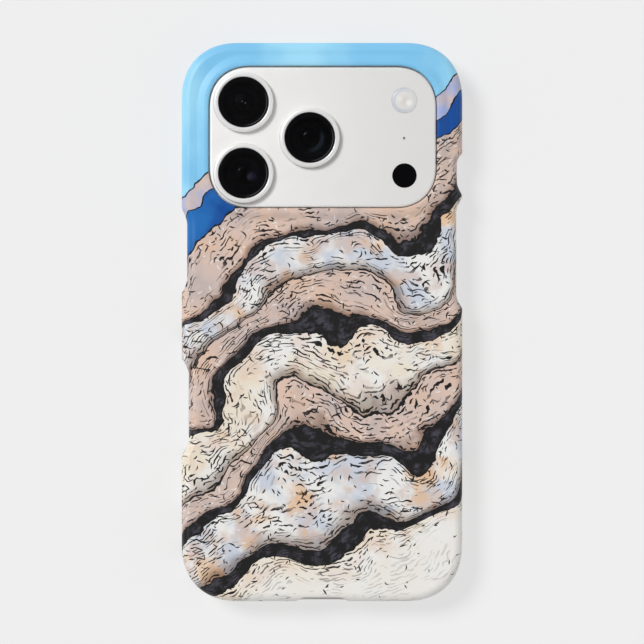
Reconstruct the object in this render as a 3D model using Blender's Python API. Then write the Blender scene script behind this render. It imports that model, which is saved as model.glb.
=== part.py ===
"""A mobile phone lying face down in a slim printed hard case, in metres, +Z up.

The phone's length runs along Y with the camera end at +Y, the back of the case faces up and
the case's front rim rests on Z = 0. The origin is the middle of that resting rectangle.
"""

import math

import bmesh
import bpy
from mathutils import Matrix, Vector

# The case, whose outline has corners that ease into the straight sides.
CASE_WIDTH = 0.0761
CASE_LENGTH = 0.1515
CASE_CORNER = 0.0157
CORNER_EXPONENT = 2.3
CASE_BACK = 0.0112
CASE_BACK_ROUND = 0.0025
CASE_FRONT_ROUND = 0.0011
CASE_WALL = 0.0019
RIM_REACH = 0.0010
RIM_EASE = 0.0003
FIT_GAP = 0.00012
CORNER_STEPS = 8

# The phone in it.
PHONE_WIDTH = CASE_WIDTH - 2 * CASE_WALL
PHONE_LENGTH = CASE_LENGTH - 2 * CASE_WALL
PHONE_CORNER = CASE_CORNER - CASE_WALL
FRAME_FRONT = 0.0013
FRAME_BACK = 0.0096
FRAME_FRONT_ROUND = 0.0014
FRAME_BACK_ROUND = 0.0020
SCREEN_FACE = 0.0010
SCREEN_INSET = 0.0015
SCREEN_THICKNESS = 0.00085
BACK_GLASS_WIDTH = 0.0640
BACK_GLASS_LENGTH = 0.0920
BACK_GLASS_MIDDLE = -0.0228
BACK_GLASS_CORNER = 0.0085
BACK_GLASS_THICKNESS = 0.00075
SEAT_GAP = 0.00008

# The camera plateau and the raised lip of the case round it.
PLATEAU_WIDTH = 0.0612
PLATEAU_LENGTH = 0.0379
PLATEAU_CORNER = 0.0108
PLATEAU_EXPONENT = 2.155
PLATEAU_MIDDLE = (0.00024, 0.04997)
PLATEAU_TOP = 0.0120
PLATEAU_ROUND = 0.0006
LIP_TOP = 0.0119
LIP_SPREAD = 0.0037
LIP_CREST = 0.00125
LIP_CHAMFER = 0.00095
LIP_SHARES = (0.08, 0.35, 0.65, 1.0)
CHAMFER_SHARES = (0.3, 0.65, 1.0)
PLATEAU_GAP = 0.00015

# Cameras, flash, depth sensor and microphone on the plateau, as (X, Y) places.
CAMERAS = {"wide": (-0.0212, 0.0594), "ultrawide": (-0.0212, 0.0402), "tele": (-0.0033, 0.0498)}
RING_RADIUS = 0.00815
RING_TOP = 0.01375
RING_ROUND = 0.00065
RING_SEAT = 0.0115
LENS_GLASS_RADIUS = 0.0068
LENS_GLASS_TOP = 0.0136
LENS_GLASS_THICKNESS = 0.0004
BARREL_RADIUS = 0.0062
BARREL_TOP = 0.0130
BARREL_SEAT = 0.0109
INNER_LENS_RADIUS = 0.0026
FLASH_PLACE = (0.0223, 0.0599)
FLASH_RADIUS = 0.00345
FLASH_SEAT = 0.0113
FLASH_DOME = 0.00012
LED_SIDE = 0.0019
LED_SEAT = 0.01085
SENSOR_PLACE = (0.0223, 0.0396)
SENSOR_RADIUS = 0.0033
SENSOR_SEAT = 0.0114
MICROPHONE_PLACE = (0.0222, 0.0497)
MICROPHONE_RADIUS = 0.00036
MICROPHONE_FLOOR = 0.0110
ROUND_STEPS = 28
SMALL_ROUND_STEPS = 20

# Dips in the case's side walls: side, low and high end along Y, depth, length of each sloped end.
DIPS = {
    "side": (-1, 0.00757, 0.03097, 0.00145, 0.0047, 0.0049),
    "camera": (-1, -0.03652, -0.00974, 0.00197, 0.0053, 0.0052),
    "action": (1, 0.03423, 0.04599, 0.00145, 0.0042, 0.0032),
    "volume": (1, 0.00352, 0.03393, 0.00160, 0.0042, 0.0044),
}
DIP_STEPS = 4
BUTTON_GAP_TOP = 0.0089
BUTTON_GAP_START = 0.32
BUTTON_GAP_ROUND = 0.0020

# Push buttons in the phone's sides: side, middle along Y, length, height and how far each stands out.
BUTTONS = {
    "side_button": (-1, 0.0193, 0.0155, 0.0030, 0.00030),
    "camera_button": (-1, -0.0231, 0.0180, 0.0034, 0.00012),
    "action_button": (1, 0.0400, 0.0060, 0.0030, 0.00030),
    "volume_up_button": (1, 0.0248, 0.0098, 0.0030, 0.00030),
    "volume_down_button": (1, 0.0128, 0.0098, 0.0030, 0.00030),
}
BUTTON_HEIGHT = 0.0053
BUTTON_DEPTH = 0.00095
BUTTON_EASE = 0.0002
POCKET_DEPTH = 0.0013

# The phone's bottom side and the openings of the case there.
PORT_WIDTH = 0.0090
PORT_HEIGHT = 0.0032
PORT_DEPTH = 0.0070
PORT_WALL = 0.0003
TONGUE = (0.0066, 0.0050, 0.0007)
SCREW_PLACE = 0.0061
SCREW_RADIUS = 0.0007
SCREW_DEPTH = 0.0012
SCREW_SOCKET = 0.00036
SPEAKER_FIRST = 0.0122
SPEAKER_PITCH = 0.0026
SPEAKER_HOLES = 4
SPEAKER_RADIUS = 0.00065
SPEAKER_DEPTH = 0.0025
PORT_OPENING = (0.0140, 0.0066)
SPEAKER_OPENING = (0.0106, 0.0024)
SCOOP_LENGTH = 0.0141
SCOOP_DEPTH = 0.0011
SCOOP_SLOPE = 0.0026
SCOOP_FLOOR = 0.0062

# The earpiece slot in the top edge of the front glass.
EARPIECE_LENGTH = 0.0120
EARPIECE_WIDTH = 0.0006

BEYOND = 0.0015


def clear_scene():
    """Empty the scene of whatever it starts with."""
    for item in list(bpy.data.objects):
        bpy.data.objects.remove(item)


def finish(name, colour, roughness, metallic=0.0):
    """A Principled material of one colour."""
    material = bpy.data.materials.new(name)
    material.use_nodes = True
    shader = material.node_tree.nodes["Principled BSDF"]
    shader.inputs["Base Color"].default_value = (*colour, 1.0)
    shader.inputs["Roughness"].default_value = roughness
    shader.inputs["Metallic"].default_value = metallic
    return material


def add_mesh(name, bm, material=None):
    """Turn a bmesh into an object of the scene, with its faces pointing out."""
    bmesh.ops.recalc_face_normals(bm, faces=bm.faces)
    mesh = bpy.data.meshes.new(name)
    bm.to_mesh(mesh)
    bm.free()
    mesh.shade_smooth()
    mesh.set_sharp_from_angle(angle=math.radians(30))
    item = bpy.data.objects.new(name, mesh)
    bpy.context.scene.collection.objects.link(item)
    if material:
        mesh.materials.append(material)
    return item


def outline(width, length, corner, exponent, steps=CORNER_STEPS):
    """Points round a rectangle, anticlockwise, whose corners are quarters of a superellipse."""
    points = []
    for turn in range(4):
        right, up = ((1, 1), (-1, 1), (-1, -1), (1, -1))[turn]
        for step in range(steps + 1):
            angle = (turn + step / steps) * math.pi / 2
            along = abs(math.cos(angle)) ** (2 / exponent) * corner
            across = abs(math.sin(angle)) ** (2 / exponent) * corner
            points.append(
                (right * (width / 2 - corner + along), up * (length / 2 - corner + across))
            )
    return points


def stack(name, size, corner, exponent, levels, material=None, middle=(0, 0)):
    """A closed solid through a pile of outlines: each level is a height and how far it is drawn in."""
    bm = bmesh.new()
    rings = []
    for height, inset in levels:
        points = outline(size[0] - 2 * inset, size[1] - 2 * inset, corner - inset, exponent)
        rings.append([bm.verts.new((x + middle[0], y + middle[1], height)) for x, y in points])
    for lower, upper in zip(rings, rings[1:]):
        for here in range(len(lower)):
            after = (here + 1) % len(lower)
            bm.faces.new((lower[here], lower[after], upper[after], upper[here]))
    bm.faces.new(rings[0])
    bm.faces.new(rings[-1])
    return add_mesh(name, bm, material)


def prism(name, points, start, end, axis="Z"):
    """A flat outline drawn out along an axis; its points are (Y, Z) for X, (X, Z) for Y, (X, Y) for Z."""
    place = {
        "X": lambda a, b, along: (along, a, b),
        "Y": lambda a, b, along: (a, along, b),
        "Z": lambda a, b, along: (a, b, along),
    }[axis]
    bm = bmesh.new()
    face = bm.faces.new([bm.verts.new(place(a, b, start)) for a, b in points])
    grown = bmesh.ops.extrude_face_region(bm, geom=[face])
    moved = [v for v in grown["geom"] if isinstance(v, bmesh.types.BMVert)]
    bmesh.ops.translate(bm, vec=Vector(place(0, 0, end - start)), verts=moved)
    return add_mesh(name, bm)


def turned(name, profile, place, material=None, steps=ROUND_STEPS):
    """A solid of revolution about the upright line through a place, from a profile of (radius, height)."""
    bm = bmesh.new()
    corners = [bm.verts.new((radius, 0, height)) for radius, height in profile]
    edges = [bm.edges.new(pair) for pair in zip(corners, corners[1:])]
    if profile[0][0] or profile[-1][0]:
        edges.append(bm.edges.new((corners[-1], corners[0])))
    bmesh.ops.spin(
        bm, geom=corners + edges, axis=(0, 0, 1), cent=(0, 0, 0), angle=2 * math.pi, steps=steps
    )
    bmesh.ops.remove_doubles(bm, verts=bm.verts, dist=1e-6)
    bmesh.ops.translate(bm, vec=(place[0], place[1], 0), verts=bm.verts)
    return add_mesh(name, bm, material)


def stadium(length, width, middle, steps=6):
    """Points round a slot with round ends, its long side along the first axis."""
    reach, radius = length / 2 - width / 2, width / 2
    points = []
    for side, first in ((1, -math.pi / 2), (-1, math.pi / 2)):
        for step in range(steps + 1):
            angle = first + math.pi * step / steps
            points.append(
                (
                    middle[0] + side * reach + radius * math.cos(angle),
                    middle[1] + radius * math.sin(angle),
                )
            )
    return points


def quarter(radius, steps=5):
    """How far a rounded edge is drawn in at each height below its face, from the side to the face."""
    angles = [math.pi / 2 * step / steps for step in range(steps + 1)]
    return [(radius * (1 - math.sin(a)), radius * (1 - math.cos(a))) for a in angles]


def rounded_levels(bottom, top, bottom_round, top_round, steps):
    """Levels of a solid with both its edges rounded."""
    low = [(bottom + below, inward) for below, inward in reversed(quarter(bottom_round, steps[0]))]
    high = [(top - below, inward) for below, inward in quarter(top_round, steps[1])]
    return low + high


def ease(share):
    """A smooth step from 0 to 1."""
    return share * share * (3 - 2 * share)


def cut(item, cutters, operation="DIFFERENCE"):
    """Join or take away solids with Boolean modifiers, and hide them."""
    for cutter in cutters:
        modifier = item.modifiers.new(cutter.name, "BOOLEAN")
        modifier.operation = operation
        modifier.object = cutter
        modifier.solver = "EXACT"
        cutter.hide_render = True
        cutter.display_type = "WIRE"


def frame_levels(grown=0.0):
    """The phone's side profile: rounded edges front and back, grown outwards by a fit gap."""
    rounds = (FRAME_FRONT_ROUND, FRAME_BACK_ROUND)
    levels = rounded_levels(FRAME_FRONT, FRAME_BACK, *rounds, (2, 3))
    middle = (FRAME_FRONT + FRAME_BACK) / 2
    return [(z + math.copysign(grown, z - middle), inset - grown) for z, inset in levels]


def settle(share):
    """A step from 0 to 1 that starts at full slope and levels out."""
    return 1 - (1 - share) ** 2


def case_dips():
    """Cutters in the side walls: each dip that shows from the back, and the button gap in front of it."""
    cutters = []
    shares = [step / DIP_STEPS for step in range(DIP_STEPS + 1)]
    for name, (side, low, high, depth, low_slope, high_slope) in DIPS.items():
        edge, outside = CASE_WIDTH / 2, CASE_WIDTH / 2 + BEYOND
        rise = [(edge - depth * settle(s), low + low_slope * s) for s in shares]
        fall = [(edge - depth * settle(s), high - high_slope * s) for s in reversed(shares)]
        flat = [(outside, low), *rise, *fall, (outside, high)]
        flat = [(side * x, y) for x, y in flat]
        cutters.append(prism(f"{name}_notch", flat, -BEYOND, CASE_BACK + BEYOND))
        first, last = low + low_slope * BUTTON_GAP_START, high - high_slope * BUTTON_GAP_START
        corner = quarter(BUTTON_GAP_ROUND, 3)
        near = [(first + inward, BUTTON_GAP_TOP - below) for below, inward in corner]
        far = [(last - inward, BUTTON_GAP_TOP - below) for below, inward in reversed(corner)]
        wall = [(first, -BEYOND), *near, *far, (last, -BEYOND)]
        inside = PHONE_WIDTH / 2 - FRAME_BACK_ROUND
        cutters.append(prism(f"{name}_button_gap", wall, side * inside, side * outside, "X"))
    return cutters


def case_bottom_openings():
    """Cutters through the bottom wall: the charging port's, one each side for the speakers, and the scoop."""
    outside, inside = -CASE_LENGTH / 2 - BEYOND, -PHONE_LENGTH / 2 + FRAME_FRONT_ROUND
    speaker_middle = SPEAKER_FIRST + SPEAKER_PITCH * (SPEAKER_HOLES - 1) / 2
    places = {
        "port": (0, PORT_OPENING),
        "speaker_left": (-speaker_middle, SPEAKER_OPENING),
        "speaker_right": (speaker_middle, SPEAKER_OPENING),
    }
    cutters = [
        prism(f"{name}_opening", stadium(*size, (x, BUTTON_HEIGHT)), outside, inside, "Y")
        for name, (x, size) in places.items()
    ]
    edge = -CASE_LENGTH / 2
    shares = [step / DIP_STEPS for step in range(DIP_STEPS + 1)]
    rise = [(-SCOOP_LENGTH / 2 + SCOOP_SLOPE * s, edge + SCOOP_DEPTH * settle(s)) for s in shares]
    fall = [(-x, y) for x, y in reversed(rise)]
    flat = [(rise[0][0], outside), *rise, *fall, (fall[-1][0], outside)]
    cutters.append(prism("port_scoop", flat, SCOOP_FLOOR, CASE_BACK + BEYOND))
    return cutters


def make_case(print_finish):
    """The hard case: one moulded shell with a lip round the camera plateau."""
    size = (CASE_WIDTH, CASE_LENGTH)
    levels = rounded_levels(0, CASE_BACK, CASE_FRONT_ROUND, CASE_BACK_ROUND, (2, 4))
    case = stack("case", size, CASE_CORNER, CORNER_EXPONENT, levels, print_finish)

    plateau = (PLATEAU_WIDTH, PLATEAU_LENGTH)
    rise = LIP_TOP - CASE_BACK
    slope = [
        (CASE_BACK + rise * ease(s), -LIP_SPREAD + (LIP_SPREAD - LIP_CREST) * s)
        for s in LIP_SHARES
    ]
    lip_levels = [(CASE_BACK - CASE_WALL / 2, slope[0][1]), *slope]
    lip = stack(
        "camera_lip", plateau, PLATEAU_CORNER, PLATEAU_EXPONENT, lip_levels, middle=PLATEAU_MIDDLE
    )
    cut(case, [lip], "UNION")

    hollow_levels = [
        (z, inset) for z, inset in frame_levels(FIT_GAP) if inset < RIM_REACH or z > BUTTON_HEIGHT
    ]
    mouth = [(-BEYOND, RIM_REACH - RIM_EASE), (0.0, RIM_REACH - RIM_EASE), (RIM_EASE, RIM_REACH)]
    hollow_levels = [*mouth, (FRAME_FRONT, RIM_REACH), *hollow_levels]
    hollow = stack(
        "phone_space", (PHONE_WIDTH, PHONE_LENGTH), PHONE_CORNER, CORNER_EXPONENT, hollow_levels
    )
    chamfer = [
        (LIP_TOP - LIP_CHAMFER * (1 - s), -PLATEAU_GAP - LIP_CHAMFER * ease(s))
        for s in CHAMFER_SHARES
    ]
    window_levels = [(FRAME_BACK - BEYOND, -PLATEAU_GAP), (chamfer[0][0] - PLATEAU_GAP, -PLATEAU_GAP)]
    window_levels += [*chamfer, (LIP_TOP + BEYOND, chamfer[-1][1])]
    window = stack(
        "camera_window", plateau, PLATEAU_CORNER, PLATEAU_EXPONENT, window_levels, middle=PLATEAU_MIDDLE
    )
    cut(case, [hollow, window, *case_dips(), *case_bottom_openings()])


def camera_cutters(name, place):
    """The stepped seat of one camera in the plateau."""
    profile = [
        (0, BARREL_SEAT),
        (BARREL_RADIUS + SEAT_GAP, BARREL_SEAT),
        (BARREL_RADIUS + SEAT_GAP, RING_SEAT),
        (RING_RADIUS + SEAT_GAP, RING_SEAT),
        (RING_RADIUS + SEAT_GAP, PLATEAU_TOP + BEYOND),
        (0, PLATEAU_TOP + BEYOND),
    ]
    return turned(f"{name}_seat", profile, place)


def well(name, place, radius, floor):
    """A round cutter from a floor up through the plateau."""
    top = PLATEAU_TOP + BEYOND
    profile = [(0, floor), (radius, floor), (radius, top), (0, top)]
    return turned(name, profile, place, steps=SMALL_ROUND_STEPS)


def regular(x, radius, steps):
    """Points of a regular polygon on the phone's bottom side, at the height of the port."""
    turns = [turn * 2 * math.pi / steps for turn in range(steps)]
    return [(x + radius * math.cos(t), BUTTON_HEIGHT + radius * math.sin(t)) for t in turns]


def drilled(name, x, radius, depth, steps=10):
    """A round cutter into the phone's bottom side."""
    face = -PHONE_LENGTH / 2
    return prism(name, regular(x, radius, steps), face - BEYOND, face + depth, "Y")


def make_frame(silver):
    """The phone's metal body with its camera plateau, cut for everything that sits in it."""
    size = (PHONE_WIDTH, PHONE_LENGTH)
    frame = stack("phone_body", size, PHONE_CORNER, CORNER_EXPONENT, frame_levels(), silver)
    plateau_levels = [(FRAME_BACK - FRAME_BACK_ROUND / 2, 0)]
    plateau_levels += [(PLATEAU_TOP - below, inset) for below, inset in quarter(PLATEAU_ROUND, 2)]
    plateau = stack(
        "plateau",
        (PLATEAU_WIDTH, PLATEAU_LENGTH),
        PLATEAU_CORNER,
        PLATEAU_EXPONENT,
        plateau_levels,
        middle=PLATEAU_MIDDLE,
    )
    cut(frame, [plateau], "UNION")

    pocket_inset = SCREEN_INSET - SEAT_GAP
    pocket_top = SCREEN_FACE + SCREEN_THICKNESS + SEAT_GAP
    front_levels = [(-BEYOND, pocket_inset), (pocket_top, pocket_inset)]
    front = stack("screen_pocket", size, PHONE_CORNER, CORNER_EXPONENT, front_levels)
    back_size = (BACK_GLASS_WIDTH + 2 * SEAT_GAP, BACK_GLASS_LENGTH + 2 * SEAT_GAP)
    back_floor = FRAME_BACK - BACK_GLASS_THICKNESS - SEAT_GAP
    back = stack(
        "back_glass_pocket",
        back_size,
        BACK_GLASS_CORNER,
        CORNER_EXPONENT,
        [(back_floor, 0), (FRAME_BACK + BEYOND / 2, 0)],
        middle=(0, BACK_GLASS_MIDDLE),
    )
    cutters = [front, back]
    cutters += [camera_cutters(name, place) for name, place in CAMERAS.items()]
    cutters.append(well("flash_seat", FLASH_PLACE, FLASH_RADIUS + SEAT_GAP, FLASH_SEAT - SEAT_GAP))
    cutters.append(well("led_seat", FLASH_PLACE, LED_SIDE, LED_SEAT))
    cutters.append(well("sensor_seat", SENSOR_PLACE, SENSOR_RADIUS + SEAT_GAP, SENSOR_SEAT - SEAT_GAP))
    cutters.append(well("microphone_hole", MICROPHONE_PLACE, MICROPHONE_RADIUS, MICROPHONE_FLOOR))
    for name, (side, middle, length, height, _) in BUTTONS.items():
        points = stadium(length + 2 * SEAT_GAP, height + 2 * SEAT_GAP, (middle, BUTTON_HEIGHT))
        face = PHONE_WIDTH / 2
        cutters.append(
            prism(f"{name}_pocket", points, side * (face - POCKET_DEPTH), side * (face + BEYOND), "X")
        )
    face = -PHONE_LENGTH / 2
    port = stadium(PORT_WIDTH + 2 * SEAT_GAP, PORT_HEIGHT + 2 * SEAT_GAP, (0, BUTTON_HEIGHT))
    cutters.append(prism("port_pocket", port, face - BEYOND, face + PORT_DEPTH + SEAT_GAP, "Y"))
    for side in (-1, 1):
        screw_size = (SCREW_RADIUS + SEAT_GAP, SCREW_DEPTH + 2 * SEAT_GAP)
        cutters.append(drilled(f"screw_hole_{side}", side * SCREW_PLACE, *screw_size))
        for hole in range(SPEAKER_HOLES):
            x = side * (SPEAKER_FIRST + SPEAKER_PITCH * hole)
            cutters.append(drilled(f"speaker_hole_{side}_{hole}", x, SPEAKER_RADIUS, SPEAKER_DEPTH))
    cut(frame, cutters)


def make_glass_panels(black_glass, silver_glass):
    """The front glass over the screen, with its earpiece slot, and the glass panel set into the back."""
    size = (PHONE_WIDTH, PHONE_LENGTH)
    top = SCREEN_FACE + SCREEN_THICKNESS
    edge = SCREEN_THICKNESS * 0.5
    low = [(SCREEN_FACE + below, SCREEN_INSET + inward) for below, inward in reversed(quarter(edge, 2))]
    levels = [*low, (top, SCREEN_INSET)]
    screen = stack("screen_glass", size, PHONE_CORNER, CORNER_EXPONENT, levels, black_glass)
    slot_place = (0, PHONE_LENGTH / 2 - SCREEN_INSET - EARPIECE_WIDTH)
    slot = prism(
        "earpiece_slot",
        stadium(EARPIECE_LENGTH, EARPIECE_WIDTH, slot_place),
        SCREEN_FACE - BEYOND,
        SCREEN_FACE + SCREEN_THICKNESS / 2,
    )
    cut(screen, [slot])
    stack(
        "back_glass",
        (BACK_GLASS_WIDTH, BACK_GLASS_LENGTH),
        BACK_GLASS_CORNER,
        CORNER_EXPONENT,
        [(FRAME_BACK - BACK_GLASS_THICKNESS, 0), (FRAME_BACK - SEAT_GAP, 0), (FRAME_BACK, SEAT_GAP)],
        silver_glass,
        (0, BACK_GLASS_MIDDLE),
    )


def make_camera(name, place, silver, black_glass, black_metal):
    """One camera: a rounded metal ring, its cover glass, the stepped barrel under it and the inner lens."""
    ledge = LENS_GLASS_TOP - LENS_GLASS_THICKNESS - SEAT_GAP
    bore = LENS_GLASS_RADIUS + SEAT_GAP
    rounding = [(RING_RADIUS - inward, RING_TOP - below) for below, inward in quarter(RING_ROUND, 2)]
    ring = [
        (BARREL_RADIUS + SEAT_GAP, RING_SEAT + SEAT_GAP),
        (RING_RADIUS, RING_SEAT + SEAT_GAP),
        *rounding,
        (bore, RING_TOP),
        (bore, ledge),
        (BARREL_RADIUS + SEAT_GAP, ledge),
    ]
    turned(f"{name}_ring", ring, place, silver)
    bottom = LENS_GLASS_TOP - LENS_GLASS_THICKNESS
    edge = LENS_GLASS_THICKNESS * 0.4
    glass = [
        (0, bottom),
        (LENS_GLASS_RADIUS, bottom),
        (LENS_GLASS_RADIUS, LENS_GLASS_TOP - edge),
        (LENS_GLASS_RADIUS - edge, LENS_GLASS_TOP),
        (0, LENS_GLASS_TOP),
    ]
    turned(f"{name}_cover_glass", glass, place, black_glass)
    step_height = (BARREL_TOP - BARREL_SEAT) / 4
    step_width = (BARREL_RADIUS - INNER_LENS_RADIUS) / 2
    base = BARREL_SEAT + SEAT_GAP
    barrel = [(0, base), (BARREL_RADIUS, base), (BARREL_RADIUS, BARREL_TOP)]
    shoulder, floor = BARREL_RADIUS - step_width, BARREL_TOP - step_height
    seat = INNER_LENS_RADIUS + SEAT_GAP
    barrel += [(shoulder, BARREL_TOP), (shoulder - step_width / 4, floor)]
    barrel += [(seat, floor), (seat, floor - step_height), (0, floor - step_height)]
    turned(f"{name}_barrel", barrel, place, black_metal, SMALL_ROUND_STEPS)
    lens_bottom = floor - step_height + SEAT_GAP
    dome = [(0, lens_bottom), (INNER_LENS_RADIUS, lens_bottom)]
    for step in range(4):
        angle = math.pi / 2 * step / 3
        rise = step_height * 0.9 * (1 + math.sin(angle))
        dome.append((INNER_LENS_RADIUS * math.cos(angle), lens_bottom + rise))
    turned(f"{name}_lens", dome, place, black_glass, SMALL_ROUND_STEPS)


def make_plateau_fittings(diffuser, led_yellow, black_glass):
    """The flash with its light source, and the depth sensor's window."""
    flash = [
        (0, FLASH_SEAT),
        (FLASH_RADIUS, FLASH_SEAT),
        (FLASH_RADIUS, PLATEAU_TOP - FLASH_DOME),
        (FLASH_RADIUS - FLASH_DOME, PLATEAU_TOP),
        (FLASH_RADIUS * 0.55, PLATEAU_TOP + FLASH_DOME),
        (0, PLATEAU_TOP + 1.4 * FLASH_DOME),
    ]
    turned("flash_diffuser", flash, FLASH_PLACE, diffuser, SMALL_ROUND_STEPS)
    half = LED_SIDE / 2
    square = [(-half, -half), (half, -half), (half, half), (-half, half)]
    points = [(FLASH_PLACE[0] + x, FLASH_PLACE[1] + y) for x, y in square]
    led = prism("flash_led", points, LED_SEAT + SEAT_GAP, FLASH_SEAT - 2 * SEAT_GAP)
    led.data.materials.append(led_yellow)
    sensor = [
        (0, SENSOR_SEAT),
        (SENSOR_RADIUS, SENSOR_SEAT),
        (SENSOR_RADIUS, PLATEAU_TOP),
        (0, PLATEAU_TOP),
    ]
    turned("depth_sensor_window", sensor, SENSOR_PLACE, black_glass, SMALL_ROUND_STEPS)


def make_button(name, side, middle, length, height, proud, silver):
    """A push button with an eased outer edge, its origin on the line along which it slides."""
    face = PHONE_WIDTH / 2 + proud
    back = PHONE_WIDTH / 2 - BUTTON_DEPTH
    button = prism(name, stadium(length, height, (0, 0)), -(face - back), -BUTTON_EASE, "X")
    bm = bmesh.new()
    bm.from_mesh(button.data)
    outer = max(bm.faces, key=lambda f: f.calc_center_median().x)
    grown = bmesh.ops.extrude_face_region(bm, geom=[outer])
    tip = [v for v in grown["geom"] if isinstance(v, bmesh.types.BMVert)]
    bmesh.ops.delete(bm, geom=[outer], context="FACES_ONLY")
    shrink = Matrix.Diagonal((1, 1 - 2 * BUTTON_EASE / length, 1 - 2 * BUTTON_EASE / height, 1))
    bmesh.ops.transform(bm, matrix=shrink, verts=tip)
    bmesh.ops.translate(bm, vec=(BUTTON_EASE, 0, 0), verts=tip)
    if side < 0:
        bmesh.ops.rotate(bm, matrix=Matrix.Rotation(math.pi, 3, "Z"), verts=bm.verts)
    bmesh.ops.recalc_face_normals(bm, faces=bm.faces)
    bm.to_mesh(button.data)
    bm.free()
    button.data.materials.append(silver)
    button.location = (side * face, middle, BUTTON_HEIGHT)


def make_bottom_fittings(steel, dark):
    """The charging port's metal liner with its contact tongue, and the two small screws beside it."""
    face = -PHONE_LENGTH / 2
    inner_end = face + PORT_DEPTH
    recess = 2 * SEAT_GAP
    outer = stadium(PORT_WIDTH, PORT_HEIGHT, (0, BUTTON_HEIGHT))
    liner = prism("port_liner", outer, face + recess, inner_end, "Y")
    liner.data.materials.append(steel)
    hole = stadium(PORT_WIDTH - 2 * PORT_WALL, PORT_HEIGHT - 2 * PORT_WALL, (0, BUTTON_HEIGHT))
    cut(liner, [prism("port_bore", hole, face - BEYOND, inner_end - PORT_WALL, "Y")])
    width, length, thickness = TONGUE
    half_width, half_thickness = width / 2, thickness / 2
    section = [
        (-half_width, BUTTON_HEIGHT - half_thickness),
        (half_width, BUTTON_HEIGHT - half_thickness),
        (half_width, BUTTON_HEIGHT + half_thickness),
        (-half_width, BUTTON_HEIGHT + half_thickness),
    ]
    tongue_end = inner_end - PORT_WALL - SEAT_GAP
    tongue = prism("port_tongue", section, tongue_end - length, tongue_end, "Y")
    tongue.data.materials.append(dark)
    for name, side in (("left", -1), ("right", 1)):
        rim = regular(side * SCREW_PLACE, SCREW_RADIUS, 10)
        screw = prism(f"port_screw_{name}", rim, face + recess, face + SCREW_DEPTH, "Y")
        screw.data.materials.append(steel)
        hexagon = regular(side * SCREW_PLACE, SCREW_SOCKET, 6)
        cut(screw, [prism(f"screw_socket_{name}", hexagon, face - BEYOND, face + SCREW_DEPTH * 0.6, "Y")])


def main():
    """Build the case, then the phone from its body to its small fittings."""
    clear_scene()
    print_finish = finish("printed_polycarbonate", (0.66, 0.56, 0.48), 0.35)
    silver = finish("silver_aluminium", (0.80, 0.79, 0.77), 0.38, 0.6)
    black_glass = finish("black_glass", (0.01, 0.01, 0.012), 0.05)
    silver_glass = finish("silver_glass", (0.78, 0.78, 0.77), 0.4)
    black_metal = finish("black_barrel", (0.015, 0.015, 0.017), 0.4)
    diffuser = finish("flash_plastic", (0.88, 0.88, 0.86), 0.3)
    led_yellow = finish("led_phosphor", (0.9, 0.75, 0.35), 0.5)
    steel = finish("port_steel", (0.55, 0.55, 0.56), 0.3, 1.0)
    dark = finish("port_plastic", (0.02, 0.02, 0.02), 0.5)

    make_case(print_finish)
    make_frame(silver)
    make_glass_panels(black_glass, silver_glass)
    for name, place in CAMERAS.items():
        make_camera(name, place, silver, black_glass, black_metal)
    make_plateau_fittings(diffuser, led_yellow, black_glass)
    for name, (side, middle, length, height, proud) in BUTTONS.items():
        make_button(name, side, middle, length, height, proud, silver)
    make_bottom_fittings(steel, dark)


main()
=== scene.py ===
"""Dresses the packed phone in its printed hard case: smooth shapes, finishes, floor, light and camera."""

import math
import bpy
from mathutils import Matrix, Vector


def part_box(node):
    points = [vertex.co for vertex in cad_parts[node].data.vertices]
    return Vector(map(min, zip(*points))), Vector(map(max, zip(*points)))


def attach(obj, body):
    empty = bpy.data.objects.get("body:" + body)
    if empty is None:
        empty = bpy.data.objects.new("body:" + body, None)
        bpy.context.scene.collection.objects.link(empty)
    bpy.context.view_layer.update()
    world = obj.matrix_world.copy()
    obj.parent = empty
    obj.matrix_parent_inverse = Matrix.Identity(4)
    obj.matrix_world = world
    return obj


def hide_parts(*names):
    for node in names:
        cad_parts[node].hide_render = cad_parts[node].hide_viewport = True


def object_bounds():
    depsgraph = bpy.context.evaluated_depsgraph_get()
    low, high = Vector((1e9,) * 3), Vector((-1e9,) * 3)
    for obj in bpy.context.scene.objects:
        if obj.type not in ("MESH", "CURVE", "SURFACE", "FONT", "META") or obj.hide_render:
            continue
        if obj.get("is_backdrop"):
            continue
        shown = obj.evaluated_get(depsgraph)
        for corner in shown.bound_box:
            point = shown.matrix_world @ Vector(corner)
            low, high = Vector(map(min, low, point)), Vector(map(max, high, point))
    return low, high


bl_info = {
    "name": "Phone In A Printed Case",
    "version": (1, 0, 0),
    "blender": (4, 5, 0),
    "location": "View3D > Sidebar > Phone Case",
    "description": "Builds the look of a phone in a printed protective case around its packed CAD part",
    "category": "Object",
}

import bmesh
import bpy
from bpy.props import FloatProperty, FloatVectorProperty, IntProperty, PointerProperty
from mathutils import Vector

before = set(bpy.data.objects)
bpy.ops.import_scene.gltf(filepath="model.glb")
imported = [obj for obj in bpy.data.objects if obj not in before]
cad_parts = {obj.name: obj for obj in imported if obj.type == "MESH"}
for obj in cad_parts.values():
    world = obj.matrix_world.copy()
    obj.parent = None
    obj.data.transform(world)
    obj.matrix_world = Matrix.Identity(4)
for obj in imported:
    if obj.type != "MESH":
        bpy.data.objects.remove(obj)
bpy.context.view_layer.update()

PHONE = "phone"
CAMERA_NAMES = ("wide", "ultrawide", "tele")
KEYS = {
    "side_button": "side_key",
    "camera_button": "camera_key",
    "action_button": "action_key",
    "volume_up_button": "volume_up_key",
    "volume_down_button": "volume_down_key",
}
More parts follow.
